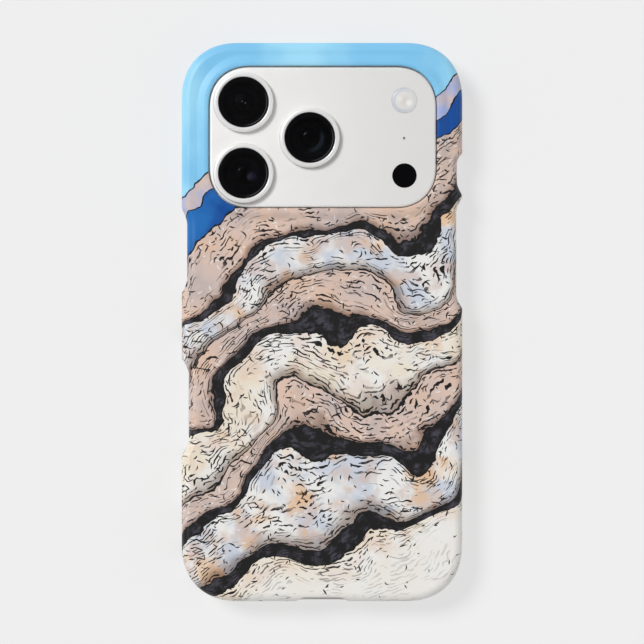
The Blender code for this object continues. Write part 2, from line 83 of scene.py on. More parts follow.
# Dips in the case's side walls: side, low and high end along Y, depth, lengths of the low and high slope.
DIPS = (
    (-1, 0.00757, 0.03097, 0.00145, 0.0047, 0.0049),
    (-1, -0.03652, -0.00974, 0.00197, 0.0053, 0.0052),
    (1, 0.03423, 0.04599, 0.00145, 0.0042, 0.0032),
    (1, 0.00352, 0.03393, 0.00160, 0.0042, 0.0044),
)
# Share of a dip's slope after which the button gap in it starts.
GAP_START = 0.32
# How far the button gaps reach below the table, so that they are open towards the front rim.
GAP_FLOOR = -0.006
# The case sits a little up and to the left of the plateau, so its window's gap is wider on those sides.
WINDOW_SHIFT = (-0.00007, 0.0001)
# How far the lip's solid reaches down into the back, and how far under the back the scoop's cutter starts.
LIP_ROOT = 0.0008
SCOOP_START = 0.00005
# How far a cutter reaches past what it cuts.
BEYOND = 0.0015
# Places closer than SAME count as one when parts are chosen, and than MERGE when doubles are merged.
SAME = 2e-6
MERGE = 1e-7
# What a fully rounded end keeps flat, so that its two bevels don't meet.
TRIM = 1e-6
# The print's ribbons from the lowest value of its field upwards: start, wash, sway, width of the shadow.
RIBBONS = (
    (-62.0, "char", 2.5, 0),
    (-57.5, "stone", 1.5, 7.0),
    (-38.0, "char", 3.0, 0),
    (-34.5, "sand", 1.0, 2.5),
    (-26.0, "cream", 1.5, 4.0),
    (-11.0, "char", 3.5, 0),
    (-7.0, "sand", 1.0, 3.0),
    (4.0, "stone", 2.0, 5.0),
    (19.0, "char", 3.0, 0),
    (22.0, "sand", 1.5, 3.0),
    (37.0, "deep", 1.0, 0),
    (45.0, "haze", 0.8, 0),
    (51.0, "sky", 0.6, 0),
)
# Eddies that stir the print: middle, reach, turn.
EDDIES = (((14, 6), 15, 1.5), ((-20, -22), 13, -1.7), ((20, -46), 14, 1.2))
# The surround's brightness from the sides to the dark patch overhead.
SURROUND = ((0.0, 0.9), (0.8, 1.0), (0.93, 0.3), (0.985, 0.03))
# Steps in a camera's barrel from its rim inwards: inwards, along the normal.
BARREL_STEPS = (
    (0.0005, 0.0),
    (0.00003, -0.00018),
    (0.0006, -0.00002),
    (0.00003, -0.00018),
    (0.0006, -0.00002),
    (0.00003, -0.00016),
    (0.0005, -0.00002),
)
# Bevel profiles that give the outlines their softened corners, and the steps of such a corner.
CASE_BULGE = 0.5473
PLATEAU_BULGE = 0.5256
CORNER_STEPS = 24
# Share of the CAD lens's height that the dressed lens takes.
LENS_SHARE = 0.94
# How far under the highest point the level lies whose width the camera takes in.
FRAMED_DEPTH = 0.002


def length(name, text, default):
    """A size that a user may change, in metres."""
    return FloatProperty(name=name, description=text, default=default, unit="LENGTH", precision=5, min=0.0)


def colour(name, text, shades):
    """A colour that a user may change, given as a screen shows it, in shares of 255."""
    linear = []
    for shade in shades:
        value = shade / 255
        linear.append(value / 12.92 if value <= 0.04045 else ((value + 0.055) / 1.055) ** 2.4)
    return FloatVectorProperty(
        name=name, description=text, default=linear, subtype="COLOR", size=3, min=0.0, max=1.0
    )


class CaseSizes(bpy.types.PropertyGroup):
    """Sizes of the hard case."""

    corner: length("Corner", "Reach of the case's rounded corners", 0.0157)
    back_round: length("Back round", "Radius of the edge between the back and the sides", 0.0025)
    front_round: length("Front round", "Radius of the edge at the front rim", 0.0011)
    back: length("Back", "Height of the case's flat back", 0.0112)
    lip_top: length("Lip top", "Height of the lip round the cameras", 0.0119)
    lip_spread: length("Lip spread", "Width of the lip's slope outside the plateau", 0.0037)
    lip_crest: length("Lip crest", "Distance from the plateau to the lip's crest", 0.00125)
    window_round: length("Window round", "Radius of the lip's inner edge", 0.0006)
    window_gap: length("Window gap", "Gap between the plateau and the case's upper edge", 0.00028)
    window_slant: length("Window slant", "How far the window's wall leans in towards the phone", 0.0001)
    rim_reach: length("Rim reach", "How far the front rim reaches over the phone", 0.0010)
    fit_gap: length("Fit gap", "Gap between the phone and the case", 0.00012)
    gap_top: length("Gap top", "Height of the button gaps in the side walls", 0.0089)
    gap_round: length("Gap round", "Corner radius of the button gaps", 0.0020)
    scoop_length: length("Scoop length", "Length of the scoop over the charging port", 0.0141)
    scoop_depth: length("Scoop depth", "Depth of the scoop over the charging port", 0.0011)
    scoop_slope: length("Scoop slope", "Length of the scoop's sloped ends", 0.0026)
    scoop_flare: length("Scoop flare", "Rounding of the scoop's upper edge", 0.0009)
    scoop_floor: length("Scoop floor", "Height down to which the scoop is cut", 0.0062)
    opening_width: length("Opening width", "Width of the opening at the charging port", 0.0140)
    opening_height: length("Opening height", "Height of the opening at the charging port", 0.0066)
    slot_width: length("Slot width", "Width of a speaker slot", 0.0106)
    slot_height: length("Slot height", "Height of a speaker slot", 0.0024)


class PhoneSizes(bpy.types.PropertyGroup):
    """Sizes of the phone's body, plateau and front glass."""

    corner: length("Corner", "Reach of the body's rounded corners", 0.0138)
    front_level: length("Front level", "Height of the body's front edge", 0.0013)
    back_level: length("Back level", "Height of the body's back", 0.0096)
    front_round: length("Front round", "Radius of the body's front edge", 0.0014)
    back_round: length("Back round", "Radius of the body's back edge", 0.0020)
    plateau_width: length("Plateau width", "Width of the camera plateau", 0.0612)
    plateau_length: length("Plateau length", "Length of the camera plateau", 0.0379)
    plateau_corner: length("Plateau corner", "Reach of the plateau's rounded corners", 0.0108)
    plateau_x: length("Plateau X", "Middle of the plateau across the phone", 0.00024)
    plateau_y: length("Plateau Y", "Middle of the plateau along the phone", 0.04997)
    plateau_top: length("Plateau top", "Height of the plateau", 0.0120)
    plateau_round: length("Plateau round", "Radius of the plateau's upper edge", 0.0006)
    screen_inset: length("Screen inset", "Distance from the body's side to the front glass", 0.0015)
    seat_gap: length("Seat gap", "Gap round each fitting in its seat", 0.00008)
    port_height: length("Port height", "Height of the charging port and the buttons over the table", 0.0053)
    speaker_first: length("First speaker hole", "From the middle to the first speaker hole", 0.0122)
    speaker_pitch: length("Speaker pitch", "Distance between two speaker holes", 0.0026)
    speaker_radius: length("Speaker radius", "Radius of a speaker hole", 0.00065)
    speaker_depth: length("Speaker depth", "Depth of a speaker hole", 0.0025)
    screw_radius: length("Screw radius", "Radius of a screw beside the port", 0.0007)
    screw_depth: length("Screw depth", "Depth of a screw's seat", 0.0012)
    button_depth: length("Button depth", "Depth of a button's pocket", 0.0013)
    glass_corner: length("Glass corner", "Reach of the back glass's rounded corners", 0.0085)
    button_round: length("Button round", "Radius of a button's outer edge", 0.0002)
    liner_wall: length("Liner wall", "Wall of the charging port's liner", 0.0003)
    liner_round: length("Liner round", "Radius of the liner's front edge", 0.00006)
    tongue_corner: length("Tongue corner", "Corner radius of the port's tongue", 0.0002)
    tongue_round: length("Tongue round", "Radius of the tongue's front edge", 0.0001)
    screw_round: length("Screw round", "Radius of a screw's edge", 0.00012)
    socket_radius: length("Socket radius", "Radius of a screw's six-sided socket", 0.00036)
    socket_depth: length("Socket depth", "Depth of a screw's six-sided socket", 0.0006)
    led_seat: length("Light seat", "Radius of the seat of the flash's light source", 0.0019)
    microphone_x: length("Microphone X", "Microphone hole across the phone", 0.0222)
    microphone_y: length("Microphone Y", "Microphone hole along the phone", 0.0497)
    microphone_radius: length("Microphone radius", "Radius of the microphone hole", 0.00036)
    microphone_floor: length("Microphone floor", "Height of the microphone hole's floor", 0.0110)
    earpiece_width: length("Earpiece width", "Width of the earpiece slot", 0.0120)
    earpiece_height: length("Earpiece height", "Height of the earpiece slot", 0.0006)
    earpiece_depth: length("Earpiece depth", "Depth of the earpiece slot", 0.000425)


class CameraSizes(bpy.types.PropertyGroup):
    """Sizes of the three cameras."""

    ring_round: length("Ring round", "Radius of a camera ring's outer edge", 0.00065)
    ring_inner_round: length("Ring inner round", "Radius of a camera ring's inner edge", 0.00016)
    glass_radius: length("Glass radius", "Radius of a camera's cover glass", 0.0068)
    clear_radius: length("Clear radius", "Radius of the glass inside its black border", 0.0054)
    glass_round: length("Glass round", "Radius of the glasses' and the sensor window's edge", 0.00012)
    barrel_radius: length("Barrel radius", "Outer radius of the barrel under the glass", 0.0062)
    collar_lap: length("Collar lap", "How far the collar under the glass reaches into the ring", 0.0002)
    lens_lift: length("Lens lift", "Height of the inner lens over the foot of its CAD node", 0.00004)
    turns: IntProperty(name="Turns", description="Sides of the turned pieces", default=96, min=32, max=192)


class PrintColours(bpy.types.PropertyGroup):
    """Colours of the generic print on the case."""

    ink: colour("Ink", "Strokes and contours", (21, 19, 20))
    sky: colour("Sky", "Light blue field", (128, 199, 240))
    sky_pale: colour("Pale sky", "Lighter part of the blue field", (160, 222, 250))
    deep: colour("Deep blue", "Deep blue ribbon", (28, 110, 186))
    deep_dark: colour("Dark blue", "Darker part of the blue ribbon", (6, 76, 156))
    lilac: colour("Lilac", "Lilac ribbon", (164, 180, 226))
    sand: colour("Sand", "Greyed pink fields", (212, 192, 184))
    peach: colour("Peach", "Warmer part of the pink fields", (226, 197, 180))
    cream: colour("Cream", "Cream fields", (238, 228, 210))
    white: colour("White", "Almost white fields", (240, 239, 236))
    mist: colour("Mist", "Blue-grey wash", (205, 212, 224))
    orange: colour("Orange", "Warm wash on the pale ribbons", (234, 180, 116))
    slate: colour("Slate", "Slate ribbon", (142, 146, 158))
    char: colour("Charcoal", "Lighter part of the black ribbons", (66, 64, 74))
    shadow: colour("Shadow", "Tint where a pale ribbon meets a black one", (150, 132, 124))


class FinishColours(bpy.types.PropertyGroup):
    """Colours of the phone's metal, glass and plastic."""

    silver: colour("Silver", "Frosted silver of the body and the plateau", (247, 246, 244))
    ring: colour("Ring", "Camera rings", (247, 246, 245))
    button: colour("Buttons", "Satin metal of the push buttons", (205, 205, 204))
    inner: colour("Case inside", "Plain plastic inside the case", (226, 225, 221))
    black: colour("Black", "Black of the lens barrels", (10, 10, 12))
    # The next four colours are painted reflections and glints in the camera lenses.
    painted_purple_reflection: colour("Coating", "Purple tint of the ultrawide lens", (92, 76, 112))
    painted_pale_reflection: colour("Coating bright", "Paler spot beside the purple tint", (106, 98, 114))
    painted_tele_reflection: colour("Tele coating", "Blue-grey tint of the tele lens", (72, 86, 94))
    painted_glint: colour("Glint", "Faint glints in the wide lens", (160, 160, 160))
    # Painted highlight: a faint arc painted into the cover glasses' black border.
    painted_edge_highlight: colour("Edge light", "Faint arc in the cover glasses' black border", (74, 74, 78))
    flash: colour("Flash", "Frosted flash cover", (228, 227, 224))
    # The rim's bluish tint also tints the flash's ridges, and is laid on as painted shade strongest on the
    # left.
    flash_rim_tint_and_painted_shade: colour("Flash rim", "Bluish rim of the flash cover", (204, 208, 215))
    flash_warm: colour("Flash middle", "Warm middle of the flash cover", (222, 211, 200))
    # Painted highlight: the bright spots on the flash cover.
    flash_painted_highlight: colour("Flash bright", "Bright spots of the flash cover", (250, 249, 247))
    phosphor: colour("Phosphor", "Light source under the flash", (226, 200, 140))
    gold: colour("Gold", "Contacts of the charging port", (214, 178, 104))


class StageLooks(bpy.types.PropertyGroup):
    """Floor, light and camera."""

    floor: colour("Floor", "Colour of the floor", (140, 140, 140))
    floor_light: colour("Floor light", "Light that shines through the floor", (206, 206, 206))
    key: FloatProperty(name="Key", description="Strength of the key light", default=2.15, min=0.0)
    fill: FloatProperty(name="Fill", description="Strength of the fill light", default=0.42, min=0.0)
    surround: FloatProperty(name="Surround", description="Strength of the surround", default=0.4, min=0.0)
    lens: FloatProperty(name="Lens", description="Focal length in millimetres", default=200.0, min=20.0)
    view_width: length("View width", "Width that the picture takes in just over the case's back", 0.1742)


GROUPS = {
    "case_sizes": CaseSizes,
    "phone_sizes": PhoneSizes,
    "camera_sizes": CameraSizes,
    "print_colours": PrintColours,
    "finish_colours": FinishColours,
    "stage_looks": StageLooks,
}


def look(name):
    """One of the scene's property groups."""
    return getattr(bpy.context.scene, name)


# Modelling with the operators of object and edit mode


def rest():
    """Leave edit mode with nothing selected."""
    if bpy.context.object and bpy.context.object.mode != "OBJECT":
        bpy.ops.object.mode_set(mode="OBJECT")
    bpy.ops.object.select_all(action="DESELECT")


def take(item):
    """Make one piece the selected and active one."""
    rest()
    item.select_set(True)
    bpy.context.view_layer.objects.active = item
    return item


def settle(item):
    """Put a piece's place, turn and scale into its mesh."""
    take(item)
    bpy.ops.object.transform_apply(location=True, rotation=True, scale=True)
    return item


def begin(name, add, stretch=(1, 1, 1), **values):
    """Add a primitive by its operator, stretch it, and put its place into its mesh."""
    rest()
    add(**values)
    item = bpy.context.object
    item.name = item.data.name = name
    item.scale = stretch
    return settle(item)


def choose(item, kind, test=lambda part: True):
    """In edit mode, select the vertices, edges or faces that pass a test."""
    if item.mode != "EDIT":
        take(item)
        bpy.ops.object.mode_set(mode="EDIT")
    bpy.context.tool_settings.mesh_select_mode = tuple(kind == each for each in ("VERT", "EDGE", "FACE"))
    bpy.ops.mesh.select_all(action="DESELECT")
    bm = bmesh.from_edit_mesh(item.data)
    bm.normal_update()
    found = [part for part in {"VERT": bm.verts, "EDGE": bm.edges, "FACE": bm.faces}[kind] if test(part)]
    for part in found:
        part.select_set(True)
    bm.select_flush_mode()
    bmesh.update_edit_mesh(item.data)
    if not found:
        raise ValueError(f"nothing to work on was found on {item.name}")
    return found


def level_with(height, axis=2):
    """A test for edges and faces that lie in a plane across an axis."""
    return lambda part: all(abs(v.co[axis] - height) < SAME for v in part.verts)


def close_up(item, merge=MERGE):
    """Merge doubles, drop what hangs loose, and turn the faces of a closed mesh outwards."""
    choose(item, "VERT")
    bpy.ops.mesh.remove_doubles(threshold=merge)
    bpy.ops.mesh.delete_loose()
    bpy.ops.mesh.normals_make_consistent(inside=False)
    rest()
    return item


def plate(name, middle, size, height):
    """A flat rectangle at a height."""
    place = (middle[0], middle[1], height)
    return begin(name, bpy.ops.mesh.primitive_plane_add, (*size, 1), size=1, location=place)


def bevel(offset, segments, affect="EDGES", bulge=0.5):
    """Bevel what is selected."""
    bpy.ops.mesh.bevel(offset=offset, segments=segments, affect=affect, profile=bulge, clamp_overlap=False)


def turn_corners(item, spots, reach, segments, bulge=0.5):
    """Round the corners of a flat outline at some places."""
    choose(item, "VERT", lambda v: any((v.co.xy - Vector(spot)).length < SAME for spot in spots))
    bevel(reach, segments, "VERTICES", bulge)


def draw_up(item, rise):
    """Draw a flat outline up into a closed solid."""
    choose(item, "FACE")
    bpy.ops.mesh.extrude_region_move(TRANSFORM_OT_translate={"value": (0, 0, rise)})
    return close_up(item)


def corners_of(size, middle):
    """The four corners of a rectangle."""
    return [
        (middle[0] + right * size[0] / 2, middle[1] + up * size[1] / 2)
        for right in (-1, 1)
        for up in (-1, 1)
    ]


def slab(name, middle, size, corner, bulge, low, high):
    """A plate with softened corners, drawn up from one height to another."""
    item = plate(name, middle, size, low)
    turn_corners(item, corners_of(size, middle), corner, CORNER_STEPS, bulge)
    return draw_up(item, high - low)


def sink(share, depth):
    """How deep a dip is at a share of its sloped end: it starts softly and levels out."""
    share = min(max(share, 0.0), 1.0)
    soft = share * share * 1.14 / (share + 0.14) if share else 0.0
    return depth * (1 - (1 - soft) ** 2)


def press_in(item, dips, edge, reach, lines=12):
    """Press dips into the long sides: rings are cut across the sloped ends and pushed in with the edges."""
    cuts = set()
    for _, low, high, _, rise, fall in dips:
        cuts.update(low + rise * n / lines for n in range(lines + 1))
        cuts.update(high - fall * n / lines for n in range(lines + 1))
    cuts = sorted({round(y, 5) for y in cuts})
    for y in cuts:
        choose(item, "FACE")
        bpy.ops.mesh.bisect(plane_co=(0, y, 0), plane_no=(0, 1, 0), threshold=MERGE)
    for y in cuts:
        for side in (-1, 1):
            depth = sum(
                min(sink((y - low) / rise, full), sink((high - y) / fall, full))
                for same, low, high, full, rise, fall in dips
                if same == side
            )
            if depth > 0:
                inner = edge - reach - SAME
                choose(item, "VERT", lambda v: abs(v.co.y - y) < SAME and v.co.x * side > inner)
                bpy.ops.transform.translate(value=(-side * depth, 0, 0))
    rest()
    return item


def block(name, low, high):
    """A plain box between two corners, to be shaped further."""
    low, high = Vector(low), Vector(high)
    return begin(name, bpy.ops.mesh.primitive_cube_add, high - low, size=1, location=(low + high) / 2)


def soften(item, test, offset, segments):
    """Bevel the edges that pass a test."""
    choose(item, "EDGE", test)
    bevel(offset, segments)
    rest()
    return item


def along(axis):
    """A test for edges that run along an axis."""
    return lambda edge: all(
        abs(edge.verts[0].co[other] - edge.verts[1].co[other]) < MERGE for other in range(3) if other != axis
    )


def lozenge(name, low, high, axis, radius, segments=8):
    """A box between two corners whose four edges along one axis are rounded."""
    return soften(block(name, low, high), along(axis), radius, segments)


def pill(name, low, high, axis, segments=12):
    """A box between two corners with fully rounded ends, seen along one axis."""
    thin = min(high[other] - low[other] for other in range(3) if other != axis)
    return lozenge(name, low, high, axis, thin / 2 - TRIM, segments)


def round_off(item, height, radius, segments, axis=2):
    """Round the edges that lie in a plane."""
    return soften(item, level_with(height, axis), radius, segments)


def terrace(item, height, steps):
    """Draw the face at a height inwards and along its normal, step by step: (inwards, along)."""
    choose(item, "FACE", level_with(height))
    for inwards, out in steps:
        bpy.ops.mesh.inset(thickness=max(inwards, 0), depth=out, use_even_offset=True)
    rest()
    return item


def steps_along(curve, count):
    """Steps of a terrace that follow a curve, given for shares from 0 to 1."""
    spots = [curve(n / count) for n in range(count + 1)]
    return [(after[0] - before[0], after[1] - before[1]) for before, after in zip(spots, spots[1:])]


def quarter_steps(radius, count):
    """Steps of a terrace that follow a quarter circle, flat at first and upright at the end."""
    turn = math.pi / 2
    return steps_along(lambda t: (radius * math.sin(turn * t), radius * (1 - math.cos(turn * t))), count)


def dome_steps(radius, height, count):
    """Steps of a terrace that follow a low dome."""
    turn = math.pi / 2
    return steps_along(lambda t: (-radius * math.cos(turn * t), height * math.sin(turn * t)), count)


def drum(name, place, radius, low, high, turns):
    """An upright cylinder."""
    middle = (place[0], place[1], (low + high) / 2)
    return begin(
        name,
        bpy.ops.mesh.primitive_cylinder_add,
        vertices=turns,
        radius=radius,
        depth=high - low,
        location=middle,
    )


def shift(item, offset):
    """Move a piece and put its new place into its mesh."""
    take(item)
    bpy.ops.transform.translate(value=offset)
    return settle(item)


def turn_to(item, turn, place):
    """Turn and move a piece and put both into its mesh."""
    item.rotation_euler = turn
    item.location = place
    return settle(item)


def copy_to(item, name, offset):
    """A copy of a piece at another place, with a mesh of its own."""
    take(item)
    bpy.ops.object.duplicate(linked=False)
    double = bpy.context.object
    double.name = double.data.name = name
    return shift(double, offset)


def carve(item, cutters, operation="DIFFERENCE"):
    """Join or cut a piece with others, which hand it their materials and are used up."""
    for cutter in cutters:
        take(item)
        modifier = item.modifiers.new(cutter.name, "BOOLEAN")
        modifier.operation = operation
        modifier.object = cutter
        modifier.solver = "EXACT"
        modifier.material_mode = "TRANSFER"
        bpy.ops.object.modifier_apply(modifier=modifier.name)
        bpy.data.objects.remove(cutter)
    rest()
    return item


def smooth(item):
    """Smooth shading with sharp edges kept, and normals that follow the large faces."""
    take(item)
    bpy.ops.object.shade_smooth_by_angle(angle=math.radians(30))
    modifier = item.modifiers.new("even_shading", "WEIGHTED_NORMAL")
    modifier.keep_sharp = True
    modifier.weight = 80
    bpy.ops.object.modifier_apply(modifier=modifier.name)
    rest()
    return item


def middle_of(node):
    """The middle of a CAD node's box."""
    low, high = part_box(node)
    return (low + high) / 2


def span(node):
    """The size of a CAD node's box."""
    low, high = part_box(node)
    return high - low


def dress(item, nodes, material=None, body=PHONE):
    """Let a finished piece ride on a body and stand for its CAD nodes."""
    if material:
        item.data.materials.clear()
        item.data.materials.append(material)
    if any(item.data.materials[face.material_index] is None for face in item.data.polygons):
        raise ValueError(f"{item.name} has faces without a material")
    smooth(item)
    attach(item, body)
    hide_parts(*nodes)
    return item


# Materials as node recipes, with shader maths written as expressions


class Wire:
    """A socket that carries a value, so that expressions add Math nodes."""

    def __init__(self, recipe, socket):
        self.recipe = recipe
        self.socket = socket

    def __add__(self, other):
        return self.recipe.maths("ADD", self, other)

    def __radd__(self, other):
        return self.recipe.maths("ADD", other, self)

    def __sub__(self, other):
        return self.recipe.maths("SUBTRACT", self, other)

    def __rsub__(self, other):
        return self.recipe.maths("SUBTRACT", other, self)

    def __mul__(self, other):
        return self.recipe.maths("MULTIPLY", self, other)

    def __rmul__(self, other):
        return self.recipe.maths("MULTIPLY", other, self)

    def __truediv__(self, other):
        return self.recipe.maths("DIVIDE", self, other)

    def __rtruediv__(self, other):
        return self.recipe.maths("DIVIDE", other, self)

    def __abs__(self):
        return self.recipe.maths("ABSOLUTE", self)


class Nodes:
    """A node tree, built node by node."""

    def __init__(self, owner):
        owner.use_nodes = True
        self.tree = owner.node_tree
        self.tree.nodes.clear()

    def put(self, socket, value):
        """Link a wire to a socket, or set the socket's own value."""
        if isinstance(value, Wire):
            self.tree.links.new(value.socket, socket)
        elif socket.type == "RGBA" and len(value) == 3:
            socket.default_value = (*value, 1.0)
        else:
            socket.default_value = value

    def add(self, kind, settings=None, inputs=None):
        """Add a node: its settings first, then the values or links of its sockets."""
        made = self.tree.nodes.new(kind)
        for name, value in (settings or {}).items():
            if name == "stops":
                while len(made.color_ramp.elements) < len(value):
                    made.color_ramp.elements.new(1.0)
                for stop, (place, shade) in zip(made.color_ramp.elements, value):
                    stop.position = place
                    stop.color = (*shade, 1.0)
            else:
                setattr(made, name, value)
        for name, value in (inputs or {}).items():
            self.put(made.inputs[name], value)
        return made

    def node(self, kind, output, settings=None, inputs=None):
        """Add a node and take one of its outputs."""
        return Wire(self, self.add(kind, settings, inputs).outputs[output])

    def maths(self, operation, *values):
        """A Math node on wires or numbers."""
        return self.node("ShaderNodeMath", 0, {"operation": operation}, dict(enumerate(values)))

    def vector(self, operation, *values, output=0):
        """A Vector Math node on wires or vectors."""
        return self.node("ShaderNodeVectorMath", output, {"operation": operation}, dict(enumerate(values)))

    def scaled(self, wire, factor):
        """A vector times a number."""
        settings = {"operation": "SCALE"}
        return self.node("ShaderNodeVectorMath", 0, settings, {0: wire, "Scale": factor})

    def place(self):
        """The place on the object, in millimetres."""
        spot = self.node("ShaderNodeTexCoord", "Object")
        return self.scaled(spot, 1000.0)

    def split(self, wire):
        """The three numbers of a vector."""
        made = self.add("ShaderNodeSeparateXYZ", None, {0: wire})
        return [Wire(self, socket) for socket in made.outputs]

    def join(self, x=0.0, y=0.0, z=0.0):
        """A vector of three numbers."""
        return self.node("ShaderNodeCombineXYZ", 0, None, {0: x, 1: y, 2: z})

    def noise(self, at, scale, detail=2.0, roughness=0.5, output="Fac", flat=True):
        """Soft noise of a given scale, in cycles a millimetre."""
        settings = {"noise_dimensions": "2D" if flat else "3D"}
        values = {"Vector": at, "Scale": scale, "Detail": detail, "Roughness": roughness}
        return self.node("ShaderNodeTexNoise", output, settings, values)

    def ramp(self, value, low, high, out_low=0.0, out_high=1.0):
        """A smooth step of a value between two limits."""
        settings = {"interpolation_type": "SMOOTHSTEP"}
        values = {0: value, 1: low, 2: high, 3: out_low, 4: out_high}
        return self.node("ShaderNodeMapRange", 0, settings, values)

    def mix(self, share, first, second):
        """A blend of two colours."""
        values = {0: share, 6: first, 7: second}
        return self.node("ShaderNodeMix", 2, {"data_type": "RGBA"}, values)

    def tinted(self, share, first, darken):
        """A colour multiplied by another by a share."""
        values = {0: share, 6: first, 7: darken}
        return self.node("ShaderNodeMix", 2, {"data_type": "RGBA", "blend_type": "MULTIPLY"}, values)

    def reach(self, at, middle):
        """The distance of a place from a point, seen along Z."""
        away = self.vector("MULTIPLY", self.vector("SUBTRACT", at, (middle[0], middle[1], 0.0)), (1, 1, 0))
        return self.vector("LENGTH", away, output="Value")

    def hypot(self, x, y):
        """The length of a flat vector."""
        return self.maths("SQRT", x * x + y * y)

    def chain(self, operation, result, *others):
        """One Math operation over several numbers."""
        for other in others:
            result = self.maths(operation, result, other)
        return result

    def least(self, *numbers):
        """The smallest of several numbers."""
        return self.chain("MINIMUM", *numbers)

    def most(self, *numbers):
        """The largest of several numbers."""
        return self.chain("MAXIMUM", *numbers)


def spelled(uniform):
    """Values by socket name, from keywords in which an underscore stands for a space."""
    return {socket.replace("_", " "): value for socket, value in uniform.items()}


class Recipe(Nodes):
    """One material: a shader, whose uniform values are set on its own sockets."""

    def __init__(self, name, **uniform):
        self.material = bpy.data.materials.new(name)
        super().__init__(self.material)
        self.shader = self.add("ShaderNodeBsdfPrincipled", None, spelled(uniform))
        surface = Wire(self, self.shader.outputs["BSDF"])
        self.output = self.add("ShaderNodeOutputMaterial", None, {"Surface": surface})

    def feed(self, socket, value):
        """Link a wire to one of the shader's sockets."""
        self.put(self.shader.inputs[socket], value)

    def bump(self, height, distance, strength=1.0):
        """Relief from a height, fed to the shader's normal."""
        values = {"Height": height, "Distance": distance, "Strength": strength}
        self.feed("Normal", self.node("ShaderNodeBump", "Normal", None, values))

    def laid_over(self, share, **uniform):
        """Lay a second shader over the first where the share is high."""
        upper = self.node("ShaderNodeBsdfPrincipled", "BSDF", None, spelled(uniform))
        lower = Wire(self, self.shader.outputs["BSDF"])
        both = self.node("ShaderNodeMixShader", 0, None, {0: share, 1: lower, 2: upper})
        self.put(self.output.inputs["Surface"], both)


def swirl(recipe, spot, middle, reach, turn):
    """Turn the pattern round a place, less and less with the distance from it."""
    away = recipe.vector("SUBTRACT", spot, (*middle, 0))
    far = recipe.vector("LENGTH", away, output="Value")
    angle = turn * recipe.maths("EXPONENT", far * far * (-1 / reach**2))
    values = {"Vector": spot, "Center": (*middle, 0), "Angle": angle}
    return recipe.node("ShaderNodeVectorRotate", 0, {"rotation_type": "Z_AXIS"}, values)


def unrolled(recipe, width, tall, corner, back):
    """The place on the print as if the case's sides were folded flat, in millimetres."""
    place = recipe.place()
    x, y, z = recipe.split(place)
    flat = recipe.join(x, y, 0.0)
    reach = (width / 2 - corner, tall / 2 - corner, 0)
    inside = recipe.vector("MAXIMUM", recipe.vector("MINIMUM", flat, reach), tuple(-r for r in reach))
    outward = recipe.vector("NORMALIZE", recipe.vector("SUBTRACT", flat, inside))
    down = recipe.most(back - z, 0.0)
    return recipe.vector("ADD", flat, recipe.scaled(outward, down))


def strokes(recipe, field, run, spacing, weight, seed, cover, dash):
    """Broken tapering strokes along the level lines of a field."""
    line = field / spacing
    number = recipe.maths("FLOOR", line)
    off = abs(line - number - 0.5) * spacing
    breaks = recipe.noise(recipe.join(run / dash, number * 3.7 + seed, 0.0), 1.0, 1.0)
    thick = weight * recipe.ramp(breaks, 1 - cover, 1 - cover + 0.16)
    return recipe.ramp(thick - off, 0.0, 0.07)


def flecks(recipe, spot, cell, long, weight, shown, seed):
    """Short curved ticks, each turned its own way, in some of the cells of an uneven grid."""
    grid = recipe.scaled(recipe.vector("ADD", spot, (seed, -seed, 0.0)), 1 / cell)
    cells = recipe.add("ShaderNodeTexVoronoi", {"voronoi_dimensions": "2D"}, {"Vector": grid, "Scale": 1.0})
    turn, bend, pick = recipe.split(Wire(recipe, cells.outputs["Color"]))
    away = recipe.scaled(recipe.vector("SUBTRACT", grid, Wire(recipe, cells.outputs["Position"])), cell)
    values = {"Vector": away, "Angle": turn * math.tau}
    x, y, _ = recipe.split(recipe.node("ShaderNodeVectorRotate", 0, {"rotation_type": "Z_AXIS"}, values))
    off = abs(y + x * x * (bend - 0.5))
    share = abs(x) / (long * (0.35 + 0.65 * bend))
    ink = recipe.ramp(weight * recipe.ramp(share, 0.1, 1.0, 1.0, 0.0) - off, 0.0, 0.07)
    return ink * recipe.maths("LESS_THAN", pick, shown)


def washes(recipe, spot, c):
    """The colours of the ribbons, each a blend of soft washes."""

    def cloud(scale, shift, low, high, most=1.0):
        moved = recipe.vector("ADD", spot, (*shift, 0.0))
        return recipe.ramp(recipe.noise(moved, scale, 3.0, 0.55), low, high, 0.0, most)

    warm = cloud(0.085, (13, -71), 0.5, 0.72, 0.62)
    brown = cloud(0.12, (-58, 23), 0.47, 0.66, 0.75)
    cool = cloud(0.1, (44, 44), 0.46, 0.66, 0.8)
    sky = recipe.mix(cloud(0.03, (0, 0), 0.35, 0.65), c.sky, c.sky_pale)
    deep = recipe.mix(cloud(0.06, (91, 17), 0.35, 0.65), c.deep, c.deep_dark)
    haze = recipe.mix(cloud(0.07, (5, 31), 0.35, 0.6), c.lilac, c.sand)
    sand = recipe.mix(cloud(0.08, (-21, 8), 0.35, 0.7), c.sand, c.peach)
    sand = recipe.mix(cool * 0.3, sand, c.slate)
    sand = recipe.mix(warm * 0.35, sand, c.orange)
    stone = recipe.mix(cloud(0.09, (30, -12), 0.34, 0.6), c.mist, c.white)
    stone = recipe.mix(brown, stone, c.sand)
    stone = recipe.mix(warm, stone, c.orange)
    cream = recipe.mix(cloud(0.075, (-9, 63), 0.35, 0.62), c.white, c.cream)
    cream = recipe.mix(brown * 0.6, cream, c.peach)
    cream = recipe.mix(warm * 0.5, cream, c.orange)
    char = recipe.mix(cloud(0.3, (2, 19), 0.42, 0.7), c.ink, c.char)
    glints = 0.6 * flecks(recipe, spot, cell=2.4, long=1.5, weight=0.26, shown=0.4, seed=80.0)
    return {
        "sky": sky,
        "deep": deep,
        "haze": haze,
        "sand": recipe.mix(glints, sand, c.white),
        "stone": recipe.mix(glints, stone, c.white),
        "cream": recipe.mix(glints, cream, c.white),
        "char": char,
    }


